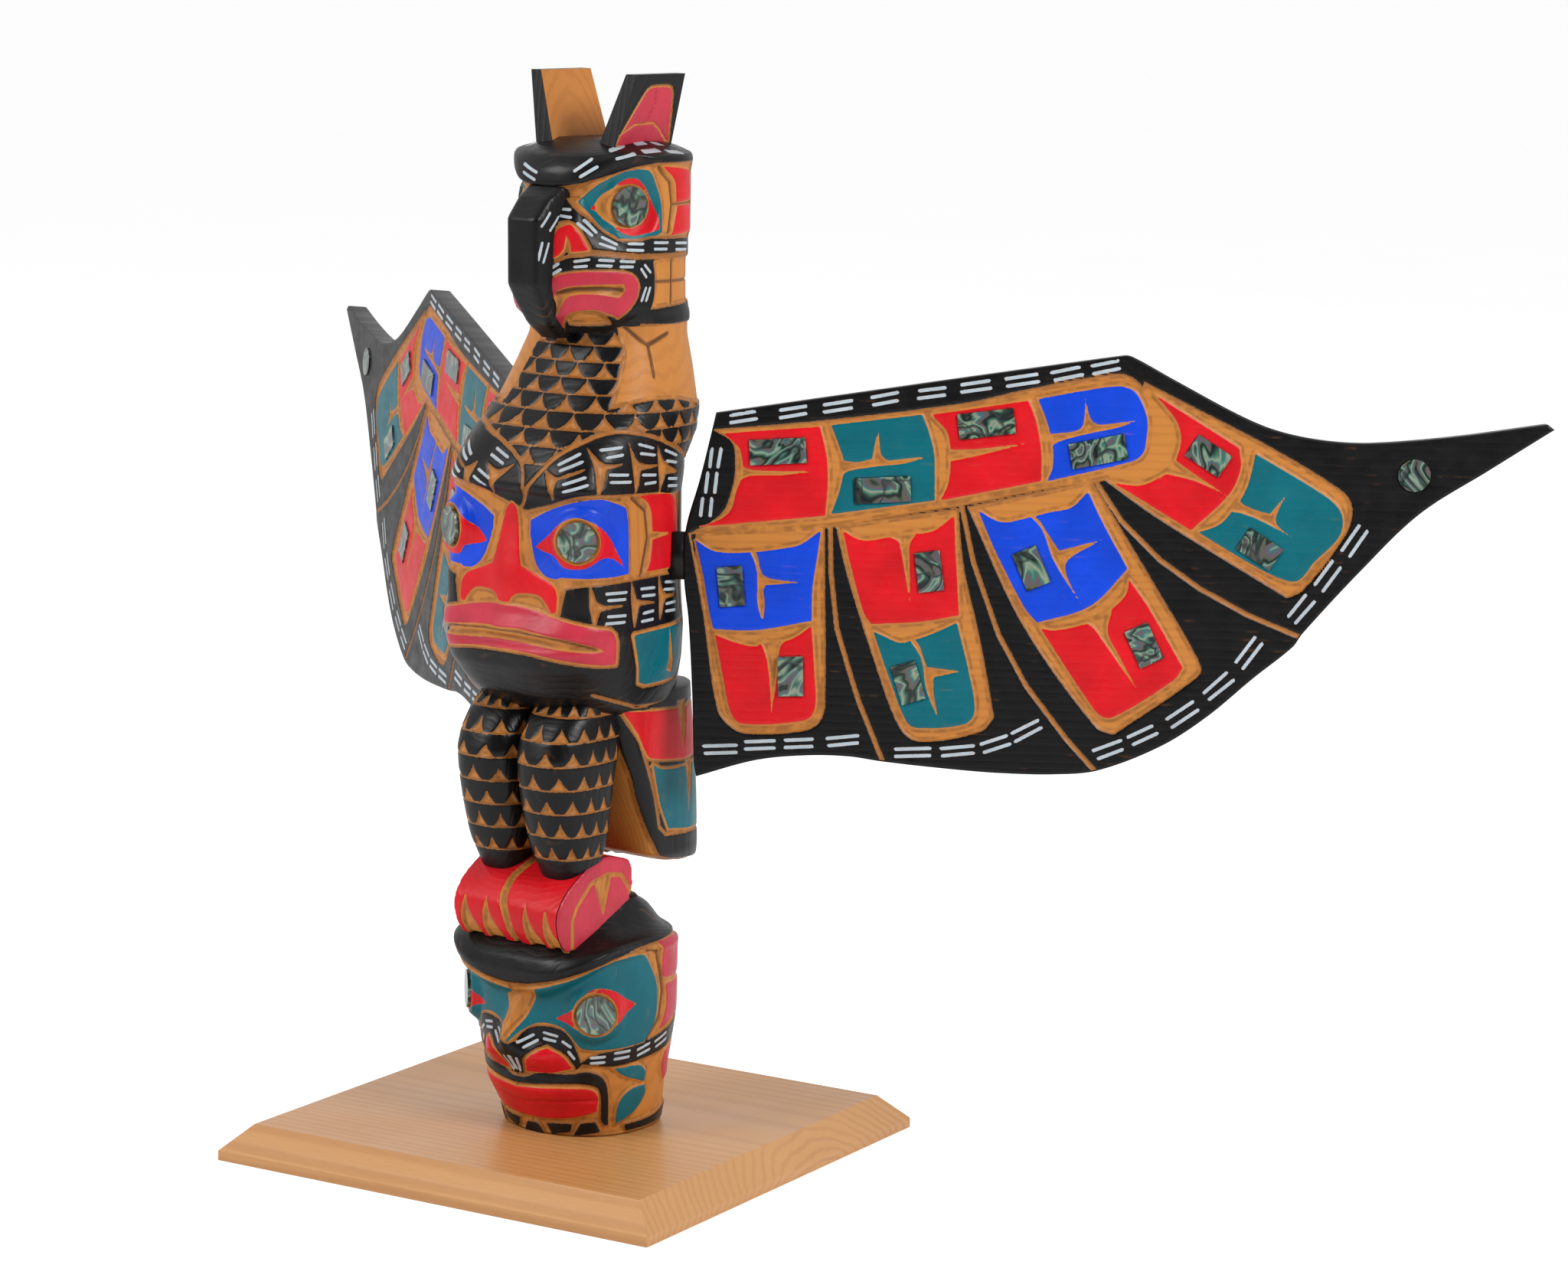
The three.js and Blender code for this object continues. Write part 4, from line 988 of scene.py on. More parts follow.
def build_feet():
    """The red feet block: claws cut in front, and an arch cut in each side"""
    profile = closed_curve([(y * LOG_RADIUS, FOOT + POLE_HEIGHT * level) for y, level in BLOCK_PROFILE], 1.0)
    across = np.arange(-BLOCK_HALF + 1.2, BLOCK_HALF - 1.1, 1.0)
    columns = len(profile)
    grid = np.zeros((len(across), columns, 3))
    grid[:, :, 0] = across[:, None]
    grid[:, :, 1] = profile[None, :, 0]
    grid[:, :, 2] = profile[None, :, 1]
    flat = grid.reshape(-1, 3)
    carving = Carving(flat[:, [0, 2]].copy(), "red")
    front = flat[:, 1] < -30
    for tip, left, right in ((-30, -34, -21.5), (-15, -18, -5.5), (13, 12, 23.5), (27.5, 26, 36.5)):
        carving.area("wood", [(tip, 158), (left, 139), (left + 1, 128), (right, 128), (right, 137),
                              ((tip + right) / 2, 146)])
    carving.stroke("wood", [(3, 185), (-1, 179), (-5, 169), (-4, 160), (0, 150), (3, 136), (4, 130)], 5.2)
    for name in PAINTS:
        base = REACH if name == "red" else -REACH
        carving.paint[name] = np.where(front, carving.paint[name], base)
    normals = surface_normals(grid.transpose(1, 0, 2)).transpose(1, 0, 2)
    centre = np.array([0, -42.0, 152.0])
    outward = ((flat - centre) * [0, 1, 1] * normals.reshape(-1, 3)).sum(1).mean()
    normals = normals * (1 if outward > 0 else -1)
    ring_normal = normals.reshape(-1, 3) * [0, 1, 1]
    moved = flat - ring_normal * (carving.depth() * 1.2)[:, None]
    index = np.arange(len(flat)).reshape(len(across), columns)
    after = np.roll(index, -1, 1)
    faces = np.stack([index[:-1], after[:-1], after[1:], index[1:]], 2).reshape(-1, 4).tolist()
    points, runs, carvings = [moved], [flat], [carving]
    for side in (-1, 1):
        places, triangles = filled(profile, 1.0)
        cap = Carving(places, "rose")
        arch = [(-60, 132), (-60, 150), (-56, 157), (-44, 168), (-30, 171), (-18, 169), (-10, 160), (-8, 148)]
        cap.stroke("wood", arch, 2.6)
        cap.area("wood", [(-42, 170), (-26, 172), (-33, 148)], 0.2)
        inset = np.clip(polygon_distance(places, profile), 0, 1.2)
        x = side * (BLOCK_HALF - 1.2 + np.sqrt(np.clip(1.44 - (1.2 - inset) ** 2, 0, None)))
        x = x - side * cap.depth() * 1.1
        start = sum(len(p) for p in points)
        points.append(np.stack([x, places[:, 0], places[:, 1]], 1))
        runs.append(points[-1])
        carvings.append(cap)
        clockwise = [t if side < 0 else t[::-1] for t in triangles]
        faces += [[start + k for k in t] for t in clockwise]
    whole = joined(carvings, np.vstack([p[:, [0, 2]] for p in points]))
    faces = [tuple(f) for f in faces]
    return make_piece("carved_feet", np.vstack(points), faces, whole, np.vstack(runs), ("pole",))


# ---------------------------------------------------------------- wings
def wing_axes():
    sweep, lean = math.radians(WING_SWEEP), math.radians(WING_LEAN)
    along = np.array([math.cos(sweep), math.sin(sweep), 0.0])
    front = np.array([math.sin(sweep) * math.cos(lean), -math.cos(sweep) * math.cos(lean), math.sin(lean)])
    up = np.cross(front, along)
    return along, up, front


def on_wing(places, height):
    along, up, front = wing_axes()
    origin = np.array([0, WING_PLANE_Y, 0])
    return origin + places[:, :1] * along + places[:, 1:2] * up + np.asarray(height).reshape(-1, 1) * front


def wing_edge(spacing):
    """The wing's outline, curved between its sharp corners"""
    shares = np.array(WING_EDGE)
    return curved(np.array([WING_ROOT, TENON_LEVEL]) + shares * WING_LENGTH, spacing, 0.86)


def drawn_in(outline, amount):
    """An outline moved inward; outlines here run clockwise"""
    after = np.roll(outline, -1, 0) - np.roll(outline, 1, 0)
    normal = np.stack([after[:, 1], -after[:, 0]], 1)
    normal /= np.linalg.norm(normal, axis=1, keepdims=True)
    return outline + normal * amount


def wing_pockets(places):
    """Depth of the pockets that hold the shell inlays"""
    depth = np.zeros(len(places))
    for out, above, turn, length in TILES:
        angle = math.radians(turn)
        offset = places - (WING_ROOT + out * WING_LENGTH, TENON_LEVEL + above * WING_LENGTH)
        u = offset[:, 0] * math.cos(angle) + offset[:, 1] * math.sin(angle)
        v = -offset[:, 0] * math.sin(angle) + offset[:, 1] * math.cos(angle)
        depth[(np.abs(u) < length / 2 - 0.6) & (np.abs(v) < TILE_HALF_WIDTH)] = POCKET_DEPTH
    offset = places - (WING_ROOT + WING_DISC[0] * WING_LENGTH, TENON_LEVEL + WING_DISC[1] * WING_LENGTH)
    depth[np.linalg.norm(offset, axis=1) < DISC_POCKET_RADIUS] = POCKET_DEPTH
    return depth


def build_wing(side, name):
    edge = wing_edge(1.2)
    inner = drawn_in(edge, 1.0)
    places, triangles = filled(inner, 1.15)
    carving = Carving(places)
    paint_wing(carving)
    pockets = wing_pockets(places)
    height = -np.where(pockets > 0, pockets, carving.depth())
    back_places, back_triangles = filled(drawn_in(edge, 1.2), 9.0)
    rims = [(0.3, -0.25), (0.0, -1.0), (0.0, 1.0 - WING_THICKNESS), (0.3, 0.3 - WING_THICKNESS)]
    ring_count = len(edge)
    points = [on_wing(places, height)]
    flat = [places]
    start = len(places)
    for inset, level in rims:
        ring = drawn_in(edge, inset)
        points.append(on_wing(ring, np.full(ring_count, level)))
        flat.append(ring)
    back_start = start + len(rims) * ring_count
    points.append(on_wing(back_places, np.full(len(back_places), -WING_THICKNESS)))
    flat.append(back_places)
    faces = list(triangles)
    loops = [np.arange(ring_count)]
    loops += [start + k * ring_count + np.arange(ring_count) for k in range(len(rims))]
    loops.append(back_start + np.arange(ring_count))
    for first, second in zip(loops[:-1], loops[1:]):
        quads = np.stack([first, np.roll(first, -1), np.roll(second, -1), second], 1)
        faces += [tuple(q) for q in quads.tolist()]
    faces += [tuple(back_start + k for k in t[::-1]) for t in back_triangles]
    # The tenon that enters the pole
    tenon = np.array([(u, v, w) for u in (WING_ROOT - 16, WING_ROOT + 2) for v in (TENON_LEVEL - 13, TENON_LEVEL + 13)
                      for w in (-10.0, -1.0)])
    corner = sum(len(p) for p in points)
    box = [(0, 1, 3, 2), (4, 6, 7, 5), (0, 4, 5, 1), (2, 3, 7, 6), (0, 2, 6, 4), (1, 5, 7, 3)]
    faces += [tuple(corner + k for k in f) for f in box]
    rest = Carving(np.vstack(flat[1:] + [tenon[:, :2]]))
    whole = joined([carving, rest], np.vstack(flat + [tenon[:, :2]]))
    body = np.vstack(points + [on_wing(tenon[:, :2], tenon[:, 2])])
    depth_run = np.concatenate([height, np.full(corner - len(places), -WING_THICKNESS / 2)])
    run = np.vstack([np.column_stack([np.vstack(flat), depth_run]), tenon])
    if side < 0:
        body = body * [-1, 1, 1]
        faces = [f[::-1] for f in faces]
        run = run + [40.0, 9.0, 30.0]
    piece = make_piece(f"carved_wing_{name}", body, faces, whole, run, (f"wing_{name}",))
    return piece


# ---------------------------------------------------------------- ears
def build_ear(side, name):
    """An ear: black edges, a red panel outside and bare wood inside"""
    low, high = FOOT + POLE_HEIGHT - 12.0, FOOT + POLE_HEIGHT + 36.0

    def place(a, b, share):
        inner = 13.0 + 17.0 * share
        outer = inner + 13.0 - 6.0 * share
        front = 2.5 - 25.0 + 7.0 * share
        return np.array([inner + (outer - inner) * a, front + (27.5 - front) * b, low + (high - low) * share])

    points, faces, runs, carvings = [], [], [], []

    def sheet(at, rows, columns, base, flip, painter=None):
        start = sum(len(p) for p in points)
        grid = np.array([at(r / (rows - 1), c / (columns - 1)) for r in range(rows) for c in range(columns)])
        carving = Carving(grid[:, [1, 2]].copy(), base)
        if painter:
            painter(carving)
        index = (start + np.arange(rows * columns)).reshape(rows, columns)
        quads = np.stack([index[:-1, :-1], index[:-1, 1:], index[1:, 1:], index[1:, :-1]], 2).reshape(-1, 4)
        if flip:
            quads = quads[:, ::-1]
        faces.extend(tuple(q) for q in quads.tolist())
        points.append(grid - (np.array([1.0, 0, 0]) * carving.depth()[:, None] if painter else 0))
        runs.append(grid)
        carvings.append(carving)

    def outer_panel(carving):
        panel = rounded([(-21, 572), (-18, 578), (-3, 602), (1, 604), (17, 604), (20, 600), (22.5, 584), (25, 571)])
        carving.area("rose", panel, 1.6)
        carving.stroke("wood", [(-20, 578), (-8, 584), (8, 584.5), (14, 581), (25, 572)], 1.3)
        carving.groove([(5, 602), (6, 595), (2, 586)], 1.2)

    sheet(lambda r, c: place(1, c, r), 52, 54, "black", False, outer_panel)
    sheet(lambda r, c: place(0, c, r), 12, 12, "none", True)
    sheet(lambda r, c: place(c, 0, r), 12, 6, "black", False)
    sheet(lambda r, c: place(c, 1, r), 12, 6, "none", True)
    sheet(lambda r, c: place(c, r, 1), 12, 6, "black", False)
    sheet(lambda r, c: place(c, r, 0), 12, 6, "black", True)
    whole = joined(carvings, np.vstack([c.points for c in carvings]))
    body = np.vstack(points)
    if side < 0:
        body = body * [-1, 1, 1]
        faces = [f[::-1] for f in faces]
    piece = make_piece(f"carved_ear_{name}", body, faces, whole, np.vstack(runs), (f"ear_{name}",), False)
    return piece


# ---------------------------------------------------------------- material groups
def socket(group, name, kind, side="INPUT", default=None):
    made = group.interface.new_socket(name=name, in_out=side, socket_type=kind)
    if default is not None:
        made.default_value = default
    return made


class Nodes:
    """Short ways to add and join nodes in a tree"""

    def __init__(self, tree):
        self.tree = tree

    def add(self, kind, **settings):
        node = self.tree.nodes.new(kind)
        for key, value in settings.items():
            setattr(node, key, value)
        return node

    def join(self, source, target):
        self.tree.links.new(source, target)

    def put(self, value, target):
        if hasattr(value, "is_output"):
            self.join(value, target)
        else:
            target.default_value = value

    def maths(self, operation, first, second=None, clamp=False):
        node = self.add("ShaderNodeMath", operation=operation, use_clamp=clamp)
        self.put(first, node.inputs[0])
        if second is not None:
            self.put(second, node.inputs[1])
        return node.outputs[0]

    def mix(self, share, first, second, blend="MIX"):
        node = self.add("ShaderNodeMix", data_type="RGBA", blend_type=blend)
        self.put(share, node.inputs[0])
        self.put(first, node.inputs[6])
        self.put(second, node.inputs[7])
        return node.outputs[2]

    def spread(self, value, low, high, to_low=0.0, to_high=1.0, kind="SMOOTHSTEP"):
        node = self.add("ShaderNodeMapRange", interpolation_type=kind)
        for slot, item in zip(range(5), (value, low, high, to_low, to_high)):
            self.put(item, node.inputs[slot])
        return node.outputs[0]

    def noise(self, vector, scale, detail=3.0, rough=0.5, output=0):
        node = self.add("ShaderNodeTexNoise")
        self.put(vector, node.inputs["Vector"])
        self.put(scale, node.inputs["Scale"])
        node.inputs["Detail"].default_value = detail
        node.inputs["Roughness"].default_value = rough
        return node.outputs[output]

    def moved(self, vector, offset):
        node = self.add("ShaderNodeMapping")
        self.put(vector, node.inputs["Vector"])
        node.inputs["Location"].default_value = offset
        return node.outputs[0]


def group_frame(name):
    group = bpy.data.node_groups.new(name, "ShaderNodeTree")
    return group, Nodes(group)


def wood_grain_group():
    """Softwood cut from a log: growth rings, fine pores and slow changes of tone"""
    group, n = group_frame("Wood grain")
    socket(group, "Place", "NodeSocketVector")
    socket(group, "Light", "NodeSocketColor")
    socket(group, "Dark", "NodeSocketColor")
    socket(group, "Rings", "NodeSocketFloat", default=260.0)
    socket(group, "Along", "NodeSocketVector")
    socket(group, "Contrast", "NodeSocketFloat", default=0.22)
    socket(group, "Color", "NodeSocketColor", "OUTPUT")
    socket(group, "Lines", "NodeSocketFloat", "OUTPUT")
    socket(group, "Height", "NodeSocketFloat", "OUTPUT")
    enter, leave = n.add("NodeGroupInput"), n.add("NodeGroupOutput")
    place = enter.outputs["Place"]
    stretched = n.add("ShaderNodeVectorMath", operation="MULTIPLY")
    n.join(place, stretched.inputs[0])
    n.join(enter.outputs["Along"], stretched.inputs[1])
    run = stretched.outputs[0]
    warp = n.noise(run, 26.0, 3.0, 0.5)
    from_heart = n.add("ShaderNodeVectorMath", operation="LENGTH")
    n.join(run, from_heart.inputs[0])
    reach = n.maths("ADD", from_heart.outputs["Value"], n.maths("MULTIPLY", warp, 0.014))
    turns = n.maths("MULTIPLY", reach, enter.outputs["Rings"])
    wave = n.maths("SINE", n.maths("MULTIPLY", turns, 6.2832))
    late = n.spread(wave, -0.2, 1.0)
    pores = n.noise(run, 1500.0, 2.0, 0.6)
    slow = n.noise(run, 14.0, 2.0, 0.5)
    share = n.maths("ADD", n.maths("MULTIPLY", late, enter.outputs["Contrast"]),
                    n.maths("MULTIPLY", n.maths("SUBTRACT", pores, 0.4), 0.5))
    share = n.maths("ADD", share, n.maths("MULTIPLY", n.maths("SUBTRACT", slow, 0.5), 0.7), True)
    n.join(n.mix(share, enter.outputs["Light"], enter.outputs["Dark"]), leave.inputs["Color"])
    n.join(late, leave.inputs["Lines"])
    n.join(n.maths("ADD", n.maths("MULTIPLY", late, -0.6), n.maths("MULTIPLY", pores, 0.5)), leave.inputs["Height"])
    return group


def carved_paint_group():
    """Hand-laid paint on carved wood, from the distances to each paint's edge, with painted shade laid into the
    grooves
    """
    group, n = group_frame("Carved paint")
    for name in PAINTS:
        socket(group, name.title() + " edge", "NodeSocketFloat")
    socket(group, "Bare edge", "NodeSocketFloat")
    socket(group, "Cut edge", "NodeSocketFloat")
    for name in PAINTS:
        socket(group, name.title(), "NodeSocketColor")
    socket(group, "Wood", "NodeSocketColor")
    socket(group, "Burnt", "NodeSocketColor")
    socket(group, "Grain lines", "NodeSocketFloat")
    socket(group, "Grain height", "NodeSocketFloat")
    socket(group, "Place", "NodeSocketVector")
    socket(group, "Color", "NodeSocketColor", "OUTPUT")
    socket(group, "Roughness", "NodeSocketFloat", "OUTPUT")
    socket(group, "Painted", "NodeSocketFloat", "OUTPUT")
    socket(group, "Height", "NodeSocketFloat", "OUTPUT")
    enter, leave = n.add("NodeGroupInput"), n.add("NodeGroupOutput")
    place = enter.outputs["Place"]
    wobble = n.maths("MULTIPLY", n.maths("SUBTRACT", n.noise(place, 420.0, 3.0, 0.6), 0.5), 0.75)
    colour = enter.outputs["Wood"]
    bare = enter.outputs["Bare edge"]
    # Painted shade: grooves darken where two cut sides meet, at their upper lip beside black paint, and along carved
    # cuts
    foot = n.maths("MULTIPLY", n.spread(bare, 0.5, 1.6), n.spread(bare, 2.9, 2.2))
    foot = n.maths("MULTIPLY", foot, n.spread(n.noise(place, 160.0, 2.0), 0.32, 0.62))
    cut = n.spread(enter.outputs["Cut edge"], -0.7, 0.9)
    beside = n.maths("MULTIPLY", enter.outputs["Black edge"], -1.0)
    lip = n.maths("MULTIPLY", n.spread(beside, 1.5, 0.2, 0.0, 0.55), n.spread(bare, -0.1, 0.2))
    dark = n.maths("MAXIMUM", n.maths("MAXIMUM", n.maths("MULTIPLY", foot, 0.42), lip),
                   n.maths("MULTIPLY", cut, 0.9))
    # The dark share mixes the painted groove shade colour into the bare wood
    colour = n.mix(dark, colour, enter.outputs["Burnt"])
    painted = None
    tone = n.noise(place, 34.0, 3.0, 0.6)
    for name in PAINTS:
        edge = n.maths("ADD", enter.outputs[name.title() + " edge"], wobble if name != "dash" else 0.0)
        mask = n.spread(edge, -0.1, 0.1)
        streak = n.spread(tone, 0.3, 0.7, 0.82, 1.1, "LINEAR")
        bright = n.add("ShaderNodeVectorMath", operation="SCALE")
        n.join(enter.outputs[name.title()], bright.inputs[0])
        n.join(streak, bright.inputs["Scale"])
        colour = n.mix(mask, colour, bright.outputs[0])
        painted = mask if painted is None else n.maths("MAXIMUM", painted, mask)
    # Worn high places where the grain shows through
    worn = n.maths("MULTIPLY", n.spread(enter.outputs["Grain lines"], 0.75, 1.0),
                   n.spread(n.noise(place, 60.0, 3.0), 0.58, 0.75))
    worn = n.maths("MULTIPLY", worn, 0.10)
    colour = n.mix(worn, colour, enter.outputs["Wood"])
    n.join(colour, leave.inputs["Color"])
    rough = n.spread(n.noise(place, 90.0, 3.0), 0.3, 0.7, 0.26, 0.40, "LINEAR")
    rough = n.maths("ADD", rough, n.maths("MULTIPLY", n.maths("SUBTRACT", 1.0, painted), 0.10))
    n.join(rough, leave.inputs["Roughness"])
    n.join(painted, leave.inputs["Painted"])
    brush = n.noise(place, 900.0, 3.0, 0.6)
    height = n.maths("ADD", n.maths("MULTIPLY", enter.outputs["Grain height"], 0.5),
                     n.maths("MULTIPLY", brush, 0.18))
    dash = n.spread(enter.outputs["Dash edge"], -0.3, 0.5, 0.0, 1.2)
    height = n.maths("ADD", height, dash)
    n.join(n.maths("SUBTRACT", height, n.maths("MULTIPLY", n.spread(enter.outputs["Cut edge"], -0.6, 0.8), 1.6)),
           leave.inputs["Height"])
    return group


def shell_group():
    """Polished sea shell: folded layers of green, blue and pink between dark lines"""
    group, n = group_frame("Sea shell")
    socket(group, "Place", "NodeSocketVector")
    socket(group, "Scale", "NodeSocketFloat", default=60.0)
    socket(group, "Color", "NodeSocketColor", "OUTPUT")
    socket(group, "Roughness", "NodeSocketFloat", "OUTPUT")
    socket(group, "Height", "NodeSocketFloat", "OUTPUT")
    enter, leave = n.add("NodeGroupInput"), n.add("NodeGroupOutput")
    place, scale = enter.outputs["Place"], enter.outputs["Scale"]
    fold = n.add("ShaderNodeTexNoise")
    n.join(place, fold.inputs["Vector"])
    n.join(n.maths("MULTIPLY", scale, 1.6), fold.inputs["Scale"])
    fold.inputs["Detail"].default_value = 2.5
    fold.inputs["Distortion"].default_value = 1.6
    bands = n.maths("FRACT", n.maths("MULTIPLY", fold.outputs[0], 7.0))
    ramp = n.add("ShaderNodeValToRGB")
    steps = [(0.0, (0.004, 0.006, 0.006)), (0.14, (0.02, 0.04, 0.035)), (0.28, (0.06, 0.16, 0.11)),
             (0.42, (0.26, 0.30, 0.21)), (0.54, (0.02, 0.15, 0.13)), (0.68, (0.12, 0.07, 0.11)),
             (0.82, (0.08, 0.10, 0.06)), (0.95, (0.012, 0.018, 0.016))]
    ramp.color_ramp.elements[0].position = steps[0][0]
    ramp.color_ramp.elements[0].color = (*steps[0][1], 1)
    ramp.color_ramp.elements[1].position = steps[-1][0]
    ramp.color_ramp.elements[1].color = (*steps[-1][1], 1)
    for position, colour in steps[1:-1]:
        ramp.color_ramp.elements.new(position).color = (*colour, 1)
    n.join(bands, ramp.inputs[0])
    shift = n.noise(place, n.maths("MULTIPLY", scale, 3.2), 2.0, 0.5, 1)
    tinted = n.mix(0.18, ramp.outputs[0], shift, "OVERLAY")
    veins = n.noise(place, n.maths("MULTIPLY", scale, 2.4), 2.0, 0.5)
    vein = n.spread(n.maths("ABSOLUTE", n.maths("SUBTRACT", veins, 0.5)), 0.0, 0.03, 1.0, 0.0)
    n.join(n.mix(n.maths("MULTIPLY", vein, 0.8), tinted, (0.02, 0.025, 0.025, 1)), leave.inputs["Color"])
    n.join(n.spread(bands, 0.0, 1.0, 0.10, 0.26), leave.inputs["Roughness"])
    n.join(n.maths("SUBTRACT", bands, vein), leave.inputs["Height"])
    return group


def finish_with(material, n, colour, roughness, height, bump, distance, **plain):
    shader = n.add("ShaderNodeBsdfPrincipled")
    out = n.add("ShaderNodeOutputMaterial")
    n.join(colour, shader.inputs["Base Color"])
    n.join(roughness, shader.inputs["Roughness"])
    bumps = n.add("ShaderNodeBump")
    bumps.inputs["Strength"].default_value = bump
    bumps.inputs["Distance"].default_value = distance
    n.join(height, bumps.inputs["Height"])
    n.join(bumps.outputs[0], shader.inputs["Normal"])
    for name, value in plain.items():
        shader.inputs[name.replace("_", " ")].default_value = value
    n.join(shader.outputs[0], out.inputs[0])
    return material


def new_material(name):
    material = bpy.data.materials.new(name)
    material.use_nodes = True
    material.node_tree.nodes.clear()
    return material, Nodes(material.node_tree)


def placed(n, group, **values):
    node = n.add("ShaderNodeGroup")
    node.node_tree = group
    for name, value in values.items():
        n.put(value, node.inputs[name.replace("_", " ")])
    return node


def painted_material(name, grain, paint, colours, along, rings, bump):
    """Cedar with hand-laid paint; grain runs along the piece"""
    material, n = new_material(name)
    run = n.add("ShaderNodeAttribute", attribute_name="grain_run").outputs["Vector"]
    wood = placed(n, grain, Place=run, Light=(*colours.wood_light, 1), Dark=(*colours.wood_dark, 1),
                  Along=along, Rings=rings)
    values = {}
    for key in PAINTS + ("bare", "cut"):
        values[key.title() + "_edge"] = n.add("ShaderNodeAttribute", attribute_name="paint_" + key).outputs["Fac"]
    for key in PAINTS:
        values[key.title()] = (*getattr(colours, key), 1)
    # The painted groove shade colour goes in beside the wood colour
    skin = placed(n, paint, Wood=wood.outputs["Color"], Burnt=(*colours.groove_shade, 1), Grain_lines=wood.outputs["Lines"],
                  Grain_height=wood.outputs["Height"], Place=run, **values)
    return finish_with(material, n, skin.outputs["Color"], skin.outputs["Roughness"], skin.outputs["Height"],
                       bump, 0.0006, Specular_IOR_Level=0.24)


def shell_material(shell, name, scale, offset):
    material, n = new_material(name)
    place = n.add("ShaderNodeTexCoord").outputs["Object"]
    skin = placed(n, shell, Place=n.moved(place, offset), Scale=scale)
    return finish_with(material, n, skin.outputs["Color"], skin.outputs["Roughness"], skin.outputs["Height"],
                       0.25, 0.0003, Coat_Weight=0.6, Coat_Roughness=0.06)


def board_material(grain, colours):
    material, n = new_material("Varnished softwood board")
    place = n.add("ShaderNodeTexCoord").outputs["Object"]
    wood = placed(n, grain, Place=n.moved(place, (0.0, -0.035, 0.075)), Light=(*colours.board_light, 1),
                  Dark=(*colours.board_dark, 1), Along=(0.06, 1.0, 1.0), Rings=190.0, Contrast=0.35)
    blotch = n.noise(place, 9.0, 3.0, 0.55)
    tone = n.mix(n.spread(blotch, 0.45, 0.75, 0.0, 0.35), wood.outputs["Color"], (*colours.board_light, 1))
    specks = n.noise(place, 260.0, 2.0, 0.5)
    tone = n.mix(n.spread(specks, 0.70, 0.78, 0.0, 0.35), tone, (*colours.board_dark, 1))
    rough = n.spread(blotch, 0.3, 0.7, 0.30, 0.46)
    return finish_with(material, n, tone, rough, wood.outputs["Height"], 0.30, 0.0005, Coat_Weight=0.25,
                       Coat_Roughness=0.2)


# ---------------------------------------------------------------- sizes and colours that can be changed
class TotemColours(bpy.types.PropertyGroup):
    """Paints and woods of the totem pole, and the colour of the painted shade in its grooves"""
    black: FloatVectorProperty(name="Black", description="Satin black paint", subtype="COLOR",
                               default=(0.0045, 0.0042, 0.0045))
    red: FloatVectorProperty(name="Red", description="Bright red paint", subtype="COLOR",
                             default=(0.62, 0.006, 0.012))
    rose: FloatVectorProperty(name="Rose", description="Thin red paint of the lips and sides", subtype="COLOR",
                              default=(0.50, 0.030, 0.055))
    teal: FloatVectorProperty(name="Teal", description="Blue-green paint", subtype="COLOR",
                              default=(0.002, 0.120, 0.155))
    blue: FloatVectorProperty(name="Blue", description="Bright blue paint", subtype="COLOR",
                              default=(0.004, 0.055, 0.60))
    dash: FloatVectorProperty(name="Dashes", description="Pale strokes", subtype="COLOR", default=(0.42, 0.49, 0.54))
    wood_light: FloatVectorProperty(name="Light wood", description="Early wood of the carving", subtype="COLOR",
                                    default=(0.52, 0.200, 0.040))
    wood_dark: FloatVectorProperty(name="Dark wood", description="Late wood of the carving", subtype="COLOR",
                                   default=(0.31, 0.100, 0.019))
    # Colour of the painted shade at the foot of the carved grooves
    groove_shade: FloatVectorProperty(name="Painted groove shade", description="Painted shade at the foot of a carved groove", subtype="COLOR",
                               default=(0.055, 0.020, 0.008))
    board_light: FloatVectorProperty(name="Light board", description="Early wood of the board", subtype="COLOR",
                                     default=(0.56, 0.275, 0.092))
    board_dark: FloatVectorProperty(name="Dark board", description="Late wood of the board", subtype="COLOR",
                                    default=(0.38, 0.155, 0.043))


class TotemSizes(bpy.types.PropertyGroup):
    """Sizes of the finish and of the stage"""
    board_edge: FloatProperty(name="Board edge", description="Rounding of the board's edges", unit="LENGTH",
                              default=0.0012, min=0.0)
    shell_edge: FloatProperty(name="Shell edge", description="Rounding of a shell inlay's edge", unit="LENGTH",
                              default=0.0004, min=0.0)
    floor_size: FloatProperty(name="Floor", description="Side of the pale floor", unit="LENGTH",
                              default=60.0, min=1.0)
    key_power: FloatProperty(name="Key light", description="Power of the main soft light", unit="POWER",
                             default=46.0)
    fill_power: FloatProperty(name="Fill light", description="Power of the second soft light", unit="POWER",
                              default=34.0)


def shared_group(name, maker):
    return bpy.data.node_groups.get(name) or maker()


def give_material(piece, material):
    piece.data.materials.clear()
    piece.data.materials.append(material)


def pole_material():
    made = bpy.data.materials.get("Painted cedar pole")
    if made:
        return made
    return painted_material("Painted cedar pole", shared_group("Wood grain", wood_grain_group),
                            shared_group("Carved paint", carved_paint_group), bpy.context.scene.totem_colours,
                            (1.0, 1.0, 0.05), 330.0, 0.35)


class TOTEM_OT_board(bpy.types.Operator):
    """Finish the bevelled board in varnished softwood"""
    bl_idname = "totem.board"
    bl_label = "Board"

    def execute(self, context):
        board = bpy.data.objects["base_board"]
        grain = shared_group("Wood grain", wood_grain_group)
        give_material(board, board_material(grain, context.scene.totem_colours))
        edge = board.modifiers.new("Worn edges", "BEVEL")
        edge.width = context.scene.totem_sizes.board_edge
        edge.segments = 3
        edge.harden_normals = True
        return {"FINISHED"}


class TOTEM_OT_pole(bpy.types.Operator):
    """Carve and paint the pole, from the lower face to the bird's head"""
    bl_idname = "totem.pole"
    bl_label = "Carved pole"

    def execute(self, context):
        for piece in build_pole():
            give_material(piece, pole_material())
        return {"FINISHED"}


